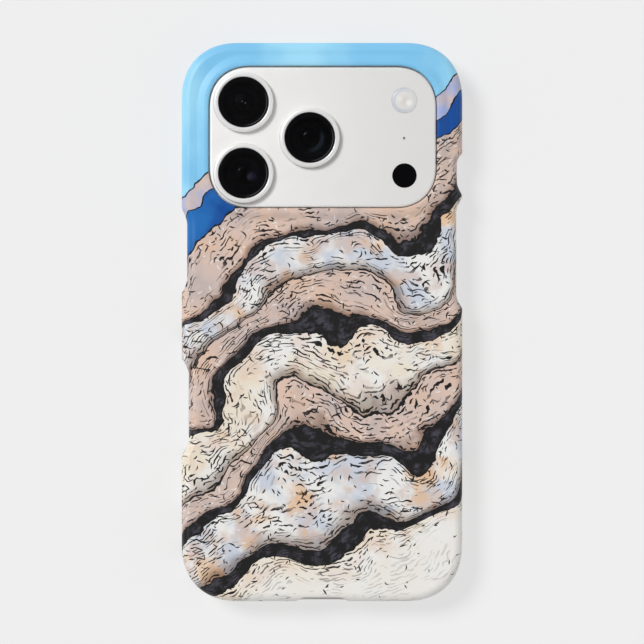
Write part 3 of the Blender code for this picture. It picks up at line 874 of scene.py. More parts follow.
def print_material():
    """The generic print: marbled ribbons of washed colour with ink contours, hatching and flecks."""
    c = look("print_colours")
    case = look("case_sizes")
    size = span("case") * 1000
    recipe = Recipe("printed_polycarbonate", Roughness=0.42, Specular_IOR_Level=0.35)
    spot = unrolled(recipe, size.x, size.y, case.corner * 1000, case.back * 1000)
    x, y, _ = recipe.split(spot)

    # The marbled field: a slanting wave, stirred by slow noise and a few eddies.
    drift = recipe.vector("SUBTRACT", recipe.noise(spot, 0.022, 2.0, 0.5, "Color"), (0.5, 0.5, 0.5))
    stirred = recipe.vector("ADD", spot, recipe.scaled(drift, 26.0))
    for middle, reach, turn in EDDIES:
        stirred = swirl(recipe, stirred, middle, reach, turn)
    fine = recipe.vector("SUBTRACT", recipe.noise(spot, 0.11, 3.0, 0.55, "Color"), (0.5, 0.5, 0.5))
    stirred = recipe.vector("ADD", stirred, recipe.scaled(fine, 5.0))
    u, v, _ = recipe.split(stirred)
    field = v - 0.42 * u + 3.5 * recipe.maths("SINE", u * 0.11)

    swell = recipe.noise(recipe.vector("ADD", spot, (-37, 55, 0)), 0.035, 1.0)
    paints = washes(recipe, spot, c)
    low_end = recipe.ramp(field, -76.0, -63.0, 1.0, 0.0)
    paint = recipe.mix(low_end * 0.8, paints["cream"], c.white)
    gaps = []
    for start, name, sway, shadow in RIBBONS:
        edge = field - (start + sway * 2.0) + swell * (sway * 4.0)
        shade = paints[name]
        if shadow:
            shade = recipe.tinted(recipe.ramp(edge, 0.0, shadow, 0.85, 0.0), shade, c.shadow)
        paint = recipe.mix(recipe.ramp(edge, -0.04, 0.04), paint, shade)
        gaps.append(abs(edge))
    nearest = recipe.least(*gaps)

    calm = recipe.ramp(field, 36.5, 38.0, 1.0, 0.0)
    near = recipe.ramp(nearest, 1.5, 5.5, 1.0, 0.0)
    patch = recipe.ramp(recipe.noise(spot, 0.08, 1.0), 0.42, 0.56)
    quiet = 1.0 - 0.75 * low_end
    busy = recipe.most(near, patch * quiet)
    waver = 3.0 * recipe.noise(spot, 0.2, 2.0)
    run = u + v * 0.3
    hatch = strokes(recipe, field, run, spacing=1.2, weight=0.27, seed=11.0, cover=0.58, dash=3.0) * busy
    level = recipe.ramp(recipe.noise(recipe.vector("ADD", spot, (7, -60, 0)), 0.06, 1.0), 0.5, 0.56)
    dashes = strokes(recipe, y + waver, x, spacing=1.5, weight=0.22, seed=3.0, cover=0.5, dash=4.0)
    dashes = dashes * level * quiet
    shown = 0.15 * quiet + 0.5 * busy
    short = flecks(recipe, spot, cell=2.1, long=1.3, weight=0.2, shown=shown, seed=5.0)
    long = flecks(recipe, spot, cell=3.1, long=2.1, weight=0.24, shown=0.25 * quiet, seed=40.0)
    contour = recipe.ramp(nearest - 0.05 * waver, 0.14, 0.24, 1.0, 0.0)
    ink = recipe.most(recipe.most(hatch, dashes, short, long) * calm, contour)
    recipe.feed("Base Color", recipe.mix(ink, paint, c.ink))
    grain = recipe.noise(recipe.place(), 5.0, 2.0, 0.5, flat=False)
    recipe.bump(grain, distance=0.00001, strength=0.25)
    return recipe.material


def satin(name, tint, roughness, metallic, grain=6.0, relief=4e-6, painted_shade_right=0.0):
    """A satin finish: a fine grain, a roughness that drifts a little, and a painted shade that may darken the
    tone towards the right.
    """
    recipe = Recipe(name, Metallic=metallic)
    place = recipe.place()
    drift = recipe.noise(place, 0.15, 2.0, flat=False)
    speck = recipe.noise(place, grain, 2.0, 0.6, flat=False)
    recipe.feed("Roughness", roughness + 0.05 * (drift - 0.5) + 0.06 * (speck - 0.5))
    pale = recipe.mix(recipe.ramp(drift, 0.3, 0.7), tint, [min(1.0, t * 1.03) for t in tint])
    # Painted shade: the tone darkens from left to right across the piece.
    if painted_shade_right:
        x, _, _ = recipe.split(place)
        pale = recipe.mix(recipe.ramp(x, -34.0, 34.0), pale, [t * (1 - painted_shade_right) for t in tint])
    recipe.feed("Base Color", pale)
    recipe.bump(speck, relief, 0.4)
    return recipe.material


def dark_glass(name, tint, roughness):
    """A smooth dark glass with faint wipe marks."""
    recipe = Recipe(name)
    marks = recipe.noise(recipe.place(), 0.35, 3.0, 0.6, flat=False)
    recipe.feed("Roughness", roughness + 0.03 * recipe.ramp(marks, 0.45, 0.8))
    recipe.feed("Base Color", recipe.mix(recipe.ramp(marks, 0.3, 0.8), tint, [t * 0.85 for t in tint]))
    return recipe.material


def camera_places():
    """The middles of the three cameras, in millimetres."""
    return [middle_of(f"{name}_ring") * 1000 for name in CAMERA_NAMES]


def cover_glass_material(clear, black):
    """A clear cover glass with a black printed border, whose inner radius is given in millimetres, and a
    painted highlight arc in that border.
    """
    recipe = Recipe("cover_glass", Roughness=0.0, IOR=1.45, Transmission_Weight=1.0)
    place = recipe.place()
    marks = recipe.noise(place, 0.35, 2.0, 0.6, flat=False)
    clean, wiped = (0.62, 0.63, 0.68), (0.58, 0.59, 0.64)
    recipe.feed("Base Color", recipe.mix(recipe.ramp(marks, 0.4, 0.8), clean, wiped))
    middles = camera_places()
    far = recipe.least(*[recipe.reach(place, middle) for middle in middles])
    # Painted highlight: a thin pale arc painted into each black border, on its right side.
    lit = recipe.most(*[arc(recipe, place, at, radius=6.3, width=0.16, start=3.5) for at in middles])
    border = recipe.mix(lit, black, look("finish_colours").painted_edge_highlight)
    recipe.laid_over(recipe.ramp(far, clear, clear + 0.05), Base_Color=border, Roughness=0.12)
    return recipe.material


def arc(recipe, place, middle, radius, width, start):
    """The mask of a painted arc of reflected light: a thin arc round a middle, on its right side and fading
    out upwards.
    """
    across, up, _ = recipe.split(recipe.vector("SUBTRACT", place, (middle.x, middle.y, 0.0)))
    off = abs(recipe.reach(place, middle) - radius)
    return recipe.ramp(off, width * 0.3, width, 1.0, 0.0) * recipe.ramp(across - 0.6 * up, start, radius)


def dark_with_painted_reflections(name, base, roughness):
    """A black part of a lens with painted reflections: two glints on the wide lens, a purple and a pale spot
    on the ultrawide, and a blue-grey arc on the tele.
    """
    f = look("finish_colours")
    recipe = Recipe(name, Specular_IOR_Level=0.15)
    place = recipe.place()
    marks = recipe.noise(place, 0.4, 2.0, 0.6, flat=False)
    paint = recipe.mix(marks, base, [t * 1.3 for t in base])
    wide, ultrawide, tele = camera_places()
    # Painted reflections: glints on the wide lens and tinted spots on the ultrawide, at fixed places.
    for middle, right, up, inner, outer, tint in (
        (wide, -0.38, 0.22, 0.12, 0.34, f.painted_glint),
        (wide, 0.5, -0.22, 0.1, 0.3, f.painted_glint),
        (ultrawide, 2.3, -0.8, 0.3, 1.7, f.painted_purple_reflection),
        (ultrawide, 1.4, -1.0, 0.1, 0.8, f.painted_pale_reflection),
    ):
        away = recipe.reach(place, (middle.x + right, middle.y + up))
        paint = recipe.mix(recipe.ramp(away, inner, outer, 1.0, 0.0), paint, tint)
    # Painted reflection: a blue-grey arc round the tele.
    lit = arc(recipe, place, tele, radius=3.3, width=0.8, start=1.2)
    paint = recipe.mix(lit, paint, f.painted_tele_reflection)
    recipe.feed("Base Color", paint)
    recipe.feed("Roughness", roughness + 0.04 * marks)
    return recipe.material


# One operator for each piece or group of like pieces


class BuildCase(bpy.types.Operator):
    """Model the printed hard case with its lip, dips, gaps and openings."""

    bl_idname = "phone_case.case"
    bl_label = "Case"
    bl_options = {"REGISTER", "UNDO"}

    def execute(self, context):
        """Draw the outline with its dips, round it, add the lip, then cut the space for the phone."""
        s, p = look("case_sizes"), look("phone_sizes")
        width, tall, _ = span("case")
        phone = span("phone_body")
        back = s.back
        printed = print_material()
        plain = satin("plain_polycarbonate", look("finish_colours").inner, roughness=0.5, metallic=0.0)

        shell = slab("printed_case", (0, 0), (width, tall), s.corner, CASE_BULGE, 0.0, back)
        round_off(shell, back, s.back_round, 9)
        round_off(shell, 0.0, s.front_round, 5)
        press_in(shell, DIPS, width / 2, s.back_round)

        rise = s.lip_top - back
        slope = s.lip_spread - s.lip_crest
        plateau = (p.plateau_width, p.plateau_length)
        middle = (p.plateau_x, p.plateau_y)
        spread = [side + 2 * s.lip_spread for side in plateau]
        foot = back - LIP_ROOT
        lip = slab("lip", middle, spread, p.plateau_corner + s.lip_spread, PLATEAU_BULGE, foot, back)
        terrace(lip, back, steps_along(lambda t: (slope * t, rise * t * t * (3 - 2 * t)), 12))
        carve(shell, [lip], "UNION")
        shell.data.materials.clear()
        shell.data.materials.append(printed)

        gap = s.window_gap + s.window_round
        top = s.lip_top + BEYOND
        window_size = [side + 2 * gap for side in plateau]
        offset = [at + move for at, move in zip(middle, WINDOW_SHIFT)]
        window = slab(
            "window", offset, window_size, p.plateau_corner + gap, PLATEAU_BULGE, s.lip_top, top
        )
        depth = s.lip_top - s.window_round - p.back_level + BEYOND
        terrace(window, s.lip_top, [*quarter_steps(s.window_round, 8), (s.window_slant, depth)])
        close_up(window)
        window.data.materials.append(printed)
        window.data.materials.append(plain)
        for face in window.data.polygons:
            if max(window.data.vertices[v].co.z for v in face.vertices) < s.lip_top - s.window_round + SAME:
                face.material_index = 1

        grown = s.fit_gap
        size = (phone.x + 2 * grown, phone.y + 2 * grown)
        base, ceiling = p.front_level - grown, p.back_level + grown
        space = slab("phone_space", (0, 0), size, p.corner + grown, CASE_BULGE, base, ceiling)
        round_off(space, ceiling, p.back_round + grown, 8)
        round_off(space, base, p.front_round + grown, 6)
        reach = s.rim_reach
        size = (phone.x - 2 * reach, phone.y - 2 * reach)
        ceiling = p.front_level + reach
        mouth = slab("rim_mouth", (0, 0), size, p.corner - reach, CASE_BULGE, -BEYOND, ceiling)
        space.data.materials.append(plain)
        mouth.data.materials.append(plain)
        carve(shell, [self.scoop(s, tall), window, space, mouth])

        gaps = []
        for number, (side, first, last, _, low_slope, high_slope) in enumerate(DIPS):
            near, far = side * (phone.x / 2 - p.back_round), side * (width / 2 + BEYOND)
            start = (min(near, far), first + low_slope * GAP_START, GAP_FLOOR)
            end = (max(near, far), last - high_slope * GAP_START, s.gap_top)
            gaps.append(lozenge(f"gap_{number}", start, end, 0, s.gap_round))
        outside, inside = -tall / 2 - BEYOND, -phone.y / 2 + p.front_round
        speaker = p.speaker_first + p.speaker_pitch * 1.5
        for name, x, long, high in (
            ("port", 0, s.opening_width, s.opening_height),
            ("speaker_left", -speaker, s.slot_width, s.slot_height),
            ("speaker_right", speaker, s.slot_width, s.slot_height),
        ):
            start = (x - long / 2, outside, p.port_height - high / 2)
            end = (x + long / 2, inside, p.port_height + high / 2)
            gaps.append(pill(f"{name}_opening", start, end, axis=1))
        for gap in gaps:
            gap.data.materials.append(plain)
        carve(shell, gaps)
        dress(close_up(shell), ["case"])
        return {"FINISHED"}

    def scoop(self, s, tall):
        """The cutter of the scoop over the charging port: a wedge with soft corners and a flared top."""
        flare, depth, run = s.scoop_flare, s.scoop_depth, s.scoop_slope / 2
        side = math.hypot(run, depth)
        outer = s.scoop_length / 2 + flare * side / depth
        inner = s.scoop_length / 2 + (flare * side - run * (depth + flare)) / depth
        edge, crest = -tall / 2, s.back - SCOOP_START
        low, high = edge - BEYOND, edge + depth + flare
        cutter = plate("scoop", (0, (low + high) / 2), (2 * outer, high - low), crest)
        choose(cutter, "FACE")
        bpy.ops.mesh.bisect(plane_co=(0, edge, 0), plane_no=(0, 1, 0))
        choose(cutter, "VERT", lambda v: v.co.y > high - SAME)
        bpy.ops.transform.resize(value=(inner / outer, 1, 1))
        half_turn = math.atan2(depth, run) / 2
        reach = side * 0.7 + flare * math.tan(half_turn)
        turn_corners(cutter, [(-inner, high), (inner, high)], reach, 12)
        draw_up(cutter, BEYOND)
        terrace(cutter, crest, quarter_steps(flare, 7))
        choose(cutter, "FACE", level_with(crest - flare))
        down = s.scoop_floor + flare - crest
        bpy.ops.mesh.extrude_region_move(TRANSFORM_OT_translate={"value": (0, 0, down)})
        return close_up(cutter)


class BuildBody(bpy.types.Operator):
    """Model the phone's metal body with its camera plateau and every seat and hole in it."""

    bl_idname = "phone_case.body"
    bl_label = "Phone body"
    bl_options = {"REGISTER", "UNDO"}

    def execute(self, context):
        """Round the body, join the plateau, and sink the seats of the fittings."""
        p, cam = look("phone_sizes"), look("camera_sizes")
        width, tall, _ = span("phone_body")
        body = slab(
            "silver_body", (0, 0), (width, tall), p.corner, CASE_BULGE, p.front_level, p.back_level
        )
        round_off(body, p.back_level, p.back_round, 8)
        round_off(body, p.front_level, p.front_round, 6)
        plateau = slab(
            "plateau",
            (p.plateau_x, p.plateau_y),
            (p.plateau_width, p.plateau_length),
            p.plateau_corner,
            PLATEAU_BULGE,
            p.back_level - p.back_round / 2,
            p.plateau_top,
        )
        round_off(plateau, p.plateau_top, p.plateau_round, 6)
        carve(body, [plateau], "UNION")

        gap = p.seat_gap
        screen_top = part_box("screen_glass")[1].z
        inset = p.screen_inset - gap
        size = (width - 2 * inset, tall - 2 * inset)
        cutters = [
            slab("screen_pocket", (0, 0), size, p.corner - inset, CASE_BULGE, -BEYOND, screen_top + gap)
        ]
        glass, middle = span("back_glass"), middle_of("back_glass")
        size = (glass.x + 2 * gap, glass.y + 2 * gap)
        base, ceiling = middle.z - glass.z / 2 - gap, middle.z + glass.z / 2 + BEYOND
        cutters.append(slab("glass_pocket", middle[:2], size, p.glass_corner, CASE_BULGE, base, ceiling))
        top = p.plateau_top + BEYOND
        turns = cam.turns
        for name in CAMERA_NAMES:
            ring = f"{name}_ring"
            foot, barrel_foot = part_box(ring)[0].z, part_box(f"{name}_barrel")[0].z
            outer = span(ring).x / 2 + gap
            seat = drum(f"{name}_seat", middle_of(ring), outer, foot - gap, top, turns)
            terrace(seat, foot - gap, [(outer - cam.barrel_radius - gap, 0.0), (0.0, foot - barrel_foot)])
            cutters.append(close_up(seat))
        for name in ("flash_diffuser", "depth_sensor_window"):
            radius, base = span(name).x / 2 + gap / 4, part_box(name)[0].z - gap
            cutters.append(drum(f"{name}_seat", middle_of(name), radius, base, top, 72))
        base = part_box("flash_led")[0].z - gap
        cutters.append(drum("led_seat", middle_of("flash_led"), p.led_seat, base, base + BEYOND, 32))
        place = (p.microphone_x, p.microphone_y)
        cutters.append(drum("microphone_hole", place, p.microphone_radius, p.microphone_floor, top, 32))
        for name in KEYS:
            node_low, node_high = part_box(name)
            side = 1 if node_low.x > 0 else -1
            near, far = side * (width / 2 - p.button_depth), side * (width / 2 + BEYOND)
            start = (min(near, far), node_low.y - gap, node_low.z - gap)
            end = (max(near, far), node_high.y + gap, node_high.z + gap)
            cutters.append(pill(f"{name}_pocket", start, end, axis=0))
        liner_low, liner_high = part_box("port_liner")
        face = -tall / 2
        start = (liner_low.x - gap, face - BEYOND, liner_low.z - gap)
        end = (liner_high.x + gap, liner_high.y + gap, liner_high.z + gap)
        cutters.append(pill("port_pocket", start, end, axis=1))
        holes = []
        for side in ("left", "right"):
            x = middle_of(f"port_screw_{side}").x
            holes.append((x, p.screw_radius + gap, p.screw_depth + 2 * gap))
        for side in (-1, 1):
            for number in range(4):
                x = side * (p.speaker_first + p.speaker_pitch * number)
                holes.append((x, p.speaker_radius, p.speaker_depth))
        for number, (x, radius, depth) in enumerate(holes):
            hole = drum(f"bottom_hole_{number}", (0, 0), radius, -BEYOND, depth, 32)
            cutters.append(turn_to(hole, (-math.pi / 2, 0, 0), (x, face, p.port_height)))
        carve(body, cutters)
        tint = look("finish_colours").silver
        # The silver carries painted shade: a little darker towards the right.
        silver = satin("frosted_silver", tint, roughness=0.45, metallic=0.15, painted_shade_right=0.145)
        dress(close_up(body), ["phone_body"], silver)
        return {"FINISHED"}


class BuildCameras(bpy.types.Operator):
    """Model the three cameras: ring, cover glass, stepped barrel and inner lenses."""

    bl_idname = "phone_case.cameras"
    bl_label = "Cameras"
    bl_options = {"REGISTER", "UNDO"}

    def execute(self, context):
        """Model each part once, at the first camera, and copy it to the others."""
        p, s = look("phone_sizes"), look("camera_sizes")
        f = look("finish_colours")
        first = middle_of("wide_ring")
        gap = p.seat_gap
        ring_low, ring_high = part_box("wide_ring")
        glass_low, glass_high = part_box("wide_cover_glass")
        barrel_low, barrel_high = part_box("wide_barrel")
        outer = span("wide_ring").x / 2
        bore = s.glass_radius + gap
        ledge = s.barrel_radius + gap

        start = (first.x + bore, first.y, ring_low.z)
        ring = block("ring", start, (first.x + outer, first.y + BEYOND, ring_high.z))
        choose(ring, "FACE", lambda face: face.normal.y > -0.5)
        bpy.ops.mesh.delete(type="FACE")
        wall = first.x + (bore + outer) / 2
        for side, radius, segments in ((1, s.ring_round, 8), (-1, s.ring_inner_round, 4)):
            choose(ring, "VERT", lambda v: abs(v.co.z - ring_high.z) < SAME and side * (v.co.x - wall) > 0)
            bevel(radius, segments, "VERTICES")
        choose(ring, "FACE")
        bpy.ops.mesh.delete(type="ONLY_FACE")
        choose(ring, "VERT")
        bpy.ops.mesh.spin(steps=s.turns, angle=2 * math.pi, center=(first.x, first.y, 0), axis=(0, 0, 1))
        close_up(ring)
        collar = drum("collar", first, bore + s.collar_lap, ring_low.z, glass_low.z - gap, s.turns)
        hole = drum("collar_bore", first, ledge, ring_low.z - BEYOND, glass_low.z + BEYOND, s.turns)
        carve(collar, [hole])
        carve(ring, [collar], "UNION")
        close_up(ring, MERGE * 10)
        ring_finish = satin("polished_ring", f.ring, roughness=0.3, metallic=0.25, grain=9.0, relief=2e-6)

        cover = drum("cover", first, s.glass_radius, glass_low.z, glass_high.z, s.turns)
        round_off(cover, glass_high.z, s.glass_round, 4)
        cover_finish = cover_glass_material(s.clear_radius * 1000, f.black)

        barrel = drum("barrel", first, s.barrel_radius, barrel_low.z, barrel_high.z, s.turns)
        last = 0.0001 - (barrel_high.z - barrel_low.z) / 4
        terrace(barrel, barrel_high.z, [*BARREL_STEPS, (0.00005, last)])
        close_up(barrel)
        barrel_finish = dark_with_painted_reflections("barrel_black", f.black, 0.5)

        room = span("wide_lens")
        radius = room.x / 2
        lens = begin(
            "lens",
            bpy.ops.mesh.primitive_uv_sphere_add,
            (1, 1, room.z * LENS_SHARE / radius),
            segments=72,
            ring_count=41,
            radius=radius,
            location=(first.x, first.y, 0),
        )
        choose(lens, "FACE")
        bpy.ops.mesh.bisect(
            plane_co=(0, 0, 0), plane_no=(0, 0, 1), clear_inner=True, use_fill=True, threshold=MERGE
        )
        shift(lens, (0, 0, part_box("wide_lens")[0].z + s.lens_lift))
        close_up(lens)
        lens_finish = dark_with_painted_reflections("lens_with_painted_reflections", f.black, 0.12)

        parts = (
            (ring, "ring", "lens_ring", ring_finish),
            (cover, "cover_glass", "lens_glass", cover_finish),
            (barrel, "barrel", "lens_barrel", barrel_finish),
            (lens, "lens", "inner_lens", lens_finish),
        )
        for model, part, slot, finish in parts:
            for name in CAMERA_NAMES:
                offset = middle_of(f"{name}_ring") - first
                piece = copy_to(model, f"{name}_camera_{part}", (offset.x, offset.y, 0))
                dress(piece, [f"{name}_{part}"], finish)
            bpy.data.objects.remove(model)
        return {"FINISHED"}


class BuildFlash(bpy.types.Operator):
    """Model the flash's frosted cover and the dark window of the depth sensor."""

    bl_idname = "phone_case.flash"
    bl_label = "Flash and sensor"
    bl_options = {"REGISTER", "UNDO"}

    def execute(self, context):
        """Two low turned pieces in the plateau."""
        f = look("finish_colours")
        low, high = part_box("flash_diffuser")
        radius = span("flash_diffuser").x / 2
        place = middle_of("flash_diffuser")
        edge = look("camera_sizes").glass_round
        rim = look("phone_sizes").plateau_top - edge
        cover = drum("flash_cover", place, radius, low.z, rim, 72)
        terrace(cover, rim, dome_steps(radius * 0.95, high.z - rim, 8))
        dress(close_up(cover), ["flash_diffuser"], self.frosted(place, radius))

        low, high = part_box("depth_sensor_window")
        place = middle_of("depth_sensor_window")
        window = drum("sensor_window", place, span("depth_sensor_window").x / 2, low.z, high.z, 72)
        round_off(window, high.z, edge, 4)
        glass = dark_glass("sensor_window_glass", f.black, roughness=0.08)
        dress(window, ["depth_sensor_window"], glass)
        return {"FINISHED"}

    def frosted(self, middle, radius):
        """Frosted plastic with a warm middle and faint ridges, a bluish rim with painted shade strongest on
        the left, and two painted highlights over the light source.
        """
        f = look("finish_colours")
        recipe = Recipe("frosted_flash", Roughness=0.35)
        place = recipe.place()
        middle = middle * 1000
        far = recipe.reach(place, middle) / (radius * 1000)
        x, _, _ = recipe.split(recipe.vector("SUBTRACT", place, tuple(middle)))
        paint = recipe.mix(recipe.ramp(far, 0.0, 0.6, 0.8, 0.0), f.flash, f.flash_warm)
        # Painted highlights: two bright spots, upper left and lower right of the middle.
        for right, up, reach, share in ((-1.2, 0.45, 1.1, 0.5), (1.25, -0.65, 1.3, 0.9)):
            away = recipe.reach(place, (middle.x + right, middle.y + up))
            paint = recipe.mix(recipe.ramp(away, 0.2, reach, share, 0.0), paint, f.flash_painted_highlight)
        # Painted shade: the bluish rim is strongest on the left and fades towards the right.
        rim = recipe.ramp(far, 0.62, 0.8) * recipe.ramp(x, -1.5, 3.2, 1.0, 0.25)
        paint = recipe.mix(rim, paint, f.flash_rim_tint_and_painted_shade)
        ridges = recipe.maths("SINE", far * 46.0) * 0.5 + 0.5
        recipe.feed("Base Color", recipe.mix(ridges * 0.04, paint, f.flash_rim_tint_and_painted_shade))
        recipe.bump(ridges, distance=0.000008, strength=0.4)
        return recipe.material


class BuildScreen(bpy.types.Operator):
    """Model the front glass with its earpiece slot."""

    bl_idname = "phone_case.screen"
    bl_label = "Front glass"
    bl_options = {"REGISTER", "UNDO"}

    def execute(self, context):
        """A thin pane with an eased front edge."""
        p = look("phone_sizes")
        low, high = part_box("screen_glass")
        size = span("screen_glass").xy
        corner = p.corner - p.screen_inset
        pane = slab("front_glass", (0, 0), size, corner, CASE_BULGE, low.z, high.z)
        round_off(pane, low.z, (high.z - low.z) * 0.5, 5)
        half, tall = p.earpiece_width / 2, p.earpiece_height
        start = (-half, high.y - 1.5 * tall, low.z - BEYOND)
        end = (half, high.y - 0.5 * tall, low.z + p.earpiece_depth)
        carve(pane, [pill("earpiece_slot", start, end, axis=2, segments=8)])
        dress(close_up(pane), ["screen_glass"], self.display(size, corner))
        return {"FINISHED"}

    def display(self, size, corner):
        """Black gloss glass over a display that is off, with a dark border and a camera cut-out."""
        recipe = Recipe("front_glass_black", Coat_Weight=0.6, Coat_Roughness=0.02)
        place = recipe.place()
        x, y, _ = recipe.split(place)
        border, corner = 1.6, corner * 1000
        cutout_half, cutout_drop, cutout_radius = 8.0, 8.0, 2.7
        reach_x, reach_y = (side * 500 - border - corner for side in size)
        far = recipe.hypot(recipe.most(abs(x) - reach_x, 0.0), recipe.most(abs(y) - reach_y, 0.0))
        lit = recipe.ramp(far, corner - border, corner - border + 0.05, 1.0, 0.0)
        away = recipe.hypot(recipe.most(abs(x) - cutout_half, 0.0), y - (size[1] * 500 - cutout_drop))
        outside = recipe.ramp(away, cutout_radius, cutout_radius + 0.05)
        marks = recipe.noise(place, 0.08, 3.0, 0.6)
        paint = recipe.mix(lit * outside, (0.004, 0.004, 0.005), (0.009, 0.009, 0.012))
        recipe.feed("Base Color", paint)
        recipe.feed("Roughness", 0.05 + 0.05 * recipe.ramp(marks, 0.5, 0.8))
        return recipe.material


class BuildButtons(bpy.types.Operator):
    """Model the five push buttons."""

    bl_idname = "phone_case.buttons"
    bl_label = "Buttons"
    bl_options = {"REGISTER", "UNDO"}

    def execute(self, context):
        """A rounded bar for each button, with a soft outer edge."""
        tint = look("finish_colours").button
        finish = satin("satin_button", tint, roughness=0.32, metallic=0.9, grain=8.0, relief=3e-6)
        for node, key in KEYS.items():
            low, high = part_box(node)
            button = pill(f"{node}_cap", low, high, axis=0)
            outer = high.x if low.x > 0 else low.x
            round_off(button, outer, look("phone_sizes").button_round, 4, axis=0)
            dress(close_up(button), [node], finish, key)
        return {"FINISHED"}


class BuildPort(bpy.types.Operator):
    """Model the charging port's liner, its contact tongue and the two screws beside it."""

    bl_idname = "phone_case.port"
    bl_label = "Charging port"
    bl_options = {"REGISTER", "UNDO"}

    def execute(self, context):
        """The liner is a rounded sleeve with a floor; the tongue carries gold contacts."""
        p = look("phone_sizes")
        low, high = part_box("port_liner")
        tint = (0.42, 0.42, 0.43)
        steel = satin("brushed_port_steel", tint, roughness=0.3, metallic=1.0, grain=10.0, relief=2e-6)
        liner = pill("port_sleeve", low, high, axis=1)
        wall = p.liner_wall
        start = low + Vector((wall, -BEYOND, wall))
        end = high - Vector((wall, wall, wall))
        carve(liner, [pill("port_bore", start, end, axis=1)])
        round_off(liner, low.y, p.liner_round, 2, axis=1)
        dress(close_up(liner), ["port_liner"], steel)

        low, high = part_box("port_tongue")
        tongue = lozenge("port_contacts", low, high, 1, p.tongue_corner, 4)
        round_off(tongue, low.y, p.tongue_round, 3, axis=1)
        dress(close_up(tongue), ["port_tongue"], self.contacts(low.y * 1000))

        for side in ("left", "right"):
            node = f"port_screw_{side}"
            width, depth, _ = span(node)
            place = middle_of(node) + Vector((0, depth / 2, 0))
            screw = drum(f"{node}_head", (0, 0), width / 2, 0, depth, 40)
            round_off(screw, depth, p.screw_round, 4)
            carve(screw, [drum("socket", (0, 0), p.socket_radius, depth - p.socket_depth, depth + BEYOND, 6)])
            turn_to(screw, (math.pi / 2, 0, 0), place)
            dress(close_up(screw), [node], steel)
        return {"FINISHED"}

    def contacts(self, front):
        """Black plastic with a row of gold strips behind its front edge, whose Y is given in millimetres."""
        recipe = Recipe("port_contacts", Roughness=0.4)
        x, y, _ = recipe.split(recipe.place())
        strip = recipe.maths("FRACT", (x + 50.0) / 0.5)
        shown = recipe.ramp(abs(strip - 0.5), 0.26, 0.3, 1.0, 0.0)
        shown = shown * recipe.ramp(abs(x), 2.9, 2.95, 1.0, 0.0)
        shown = shown * recipe.ramp(y, front + 0.3, front + 0.35)
        gold = look("finish_colours").gold
        recipe.feed("Base Color", recipe.mix(shown, (0.012, 0.012, 0.013), gold))
        recipe.feed("Metallic", shown)
        return recipe.material


class FinishHidden(bpy.types.Operator):
    """Give the two hidden CAD nodes, the back glass and the flash's light source, their finishes."""

    bl_idname = "phone_case.hidden"
    bl_label = "Hidden parts"
    bl_options = {"REGISTER", "UNDO"}

    def execute(self, context):
        """The shapes of these nodes are right, so only their materials change."""
        f = look("finish_colours")
        finishes = {
            "back_glass": satin("frosted_back_glass", f.silver, roughness=0.35, metallic=0.0),
            "flash_led": satin("led_phosphor", f.phosphor, roughness=0.6, metallic=0.0, grain=12.0),
        }
        for node, finish in finishes.items():
            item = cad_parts[node]
            item.data.materials.clear()
            item.data.materials.append(finish)
        return {"FINISHED"}


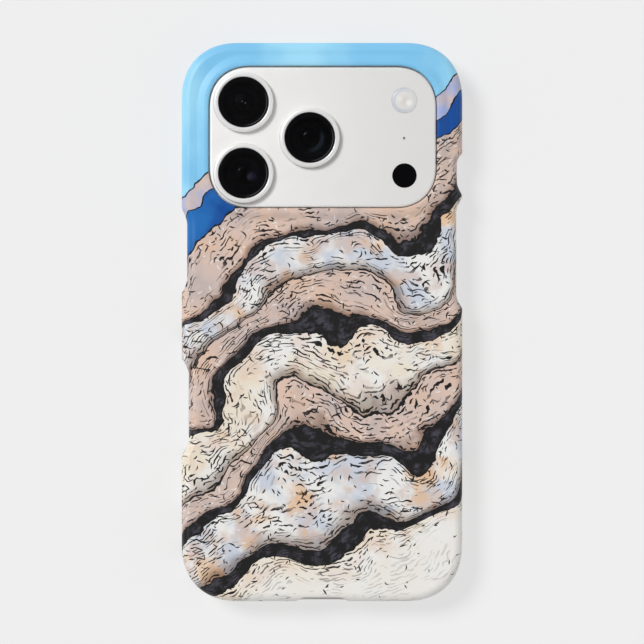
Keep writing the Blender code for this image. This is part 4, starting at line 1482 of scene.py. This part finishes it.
class BuildStage(bpy.types.Operator):
    """Set the floor, the light and the camera."""

    bl_idname = "phone_case.stage"
    bl_label = "Stage"
    bl_options = {"REGISTER", "UNDO"}

    def execute(self, context):
        """A pale floor, a soft key light from the upper left, and a long lens straight above."""
        s = look("stage_looks")
        scene = bpy.context.scene
        scene.view_settings.view_transform = "Standard"
        floor = begin("floor", bpy.ops.mesh.primitive_plane_add, size=8.0, location=(0, 0, -0.0001))
        recipe = Recipe("studio_floor", Roughness=0.9, Specular_IOR_Level=0.0, Emission_Strength=1.0)
        recipe.feed("Emission Color", s.floor_light)
        drift = recipe.noise(recipe.place(), 0.004, 1.0)
        recipe.feed("Base Color", recipe.mix(drift, s.floor, [t * 0.985 for t in s.floor]))
        floor.data.materials.append(recipe.material)
        floor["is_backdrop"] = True

        self.sun("key", s.key, (-0.66, 0.5, 1.0), spread=22)
        self.sun("fill", s.fill, (0.9, -0.4, 1.0), spread=60)
        self.surround(s.surround)

        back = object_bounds()[1].z - FRAMED_DEPTH
        rest()
        bpy.ops.object.camera_add(rotation=(0, 0, 0))
        camera = bpy.context.object
        camera.name = "camera"
        camera.data.lens = s.lens
        camera.data.sensor_width = 36.0
        camera.location = (0, 0, back + s.view_width * s.lens / camera.data.sensor_width)
        camera.data.clip_start, camera.data.clip_end = 0.05, 20.0
        scene.camera = camera
        return {"FINISHED"}

    def sun(self, name, strength, toward, spread):
        """A soft distant light that shines from a direction, its spread given in degrees."""
        rest()
        bpy.ops.object.light_add(type="SUN", location=Vector(toward))
        item = bpy.context.object
        item.name = name
        item.rotation_euler = Vector(toward).to_track_quat("Z", "Y").to_euler()
        item.data.energy = strength
        item.data.angle = math.radians(spread)

    def surround(self, strength):
        """A bright studio all round with a darker patch straight above, which the lens glass mirrors."""
        world = bpy.data.worlds.new("studio")
        bpy.context.scene.world = world
        nodes = Nodes(world)
        toward = nodes.node("ShaderNodeTexCoord", "Generated")
        facing = nodes.vector("DOT_PRODUCT", toward, Vector((0.16, -0.1, 1.0)).normalized(), output="Value")
        stops = [(place, (value, value, value)) for place, value in SURROUND]
        shade = nodes.node("ShaderNodeValToRGB", "Color", {"stops": stops}, {"Fac": facing})
        values = {"Color": shade, "Strength": strength}
        light = nodes.node("ShaderNodeBackground", 0, None, values)
        nodes.add("ShaderNodeOutputWorld", None, {"Surface": light})


BUILDERS = (
    BuildCase,
    BuildBody,
    BuildCameras,
    BuildFlash,
    BuildScreen,
    BuildButtons,
    BuildPort,
    FinishHidden,
    BuildStage,
)


class PhoneCasePanel(bpy.types.Panel):
    """The builders and their sizes and colours in the 3D view's sidebar."""

    bl_idname = "VIEW3D_PT_phone_case"
    bl_label = "Phone Case"
    bl_space_type = "VIEW_3D"
    bl_region_type = "UI"
    bl_category = "Phone Case"

    def draw(self, context):
        """List the builders, then each group of sizes and colours."""
        for builder in BUILDERS:
            self.layout.operator(builder.bl_idname)
        for name, group in GROUPS.items():
            box = self.layout.box()
            box.label(text=group.__doc__)
            for prop in group.__annotations__:
                box.prop(getattr(context.scene, name), prop)


def register():
    """Register the groups, the operators and the panel."""
    for name, group in GROUPS.items():
        bpy.utils.register_class(group)
        setattr(bpy.types.Scene, name, PointerProperty(type=group))
    for item in (*BUILDERS, PhoneCasePanel):
        bpy.utils.register_class(item)


def unregister():
    """Take the panel, the operators and the groups away again."""
    for item in (PhoneCasePanel, *reversed(BUILDERS)):
        bpy.utils.unregister_class(item)
    for name, group in reversed(GROUPS.items()):
        delattr(bpy.types.Scene, name)
        bpy.utils.unregister_class(group)


def main():
    """Register the groups, the operators and the panel, then build every piece in order."""
    register()
    for builder in BUILDERS:
        group, _, operator = builder.bl_idname.partition(".")
        getattr(getattr(bpy.ops, group), operator)()


if __name__ == "__main__":
    main()
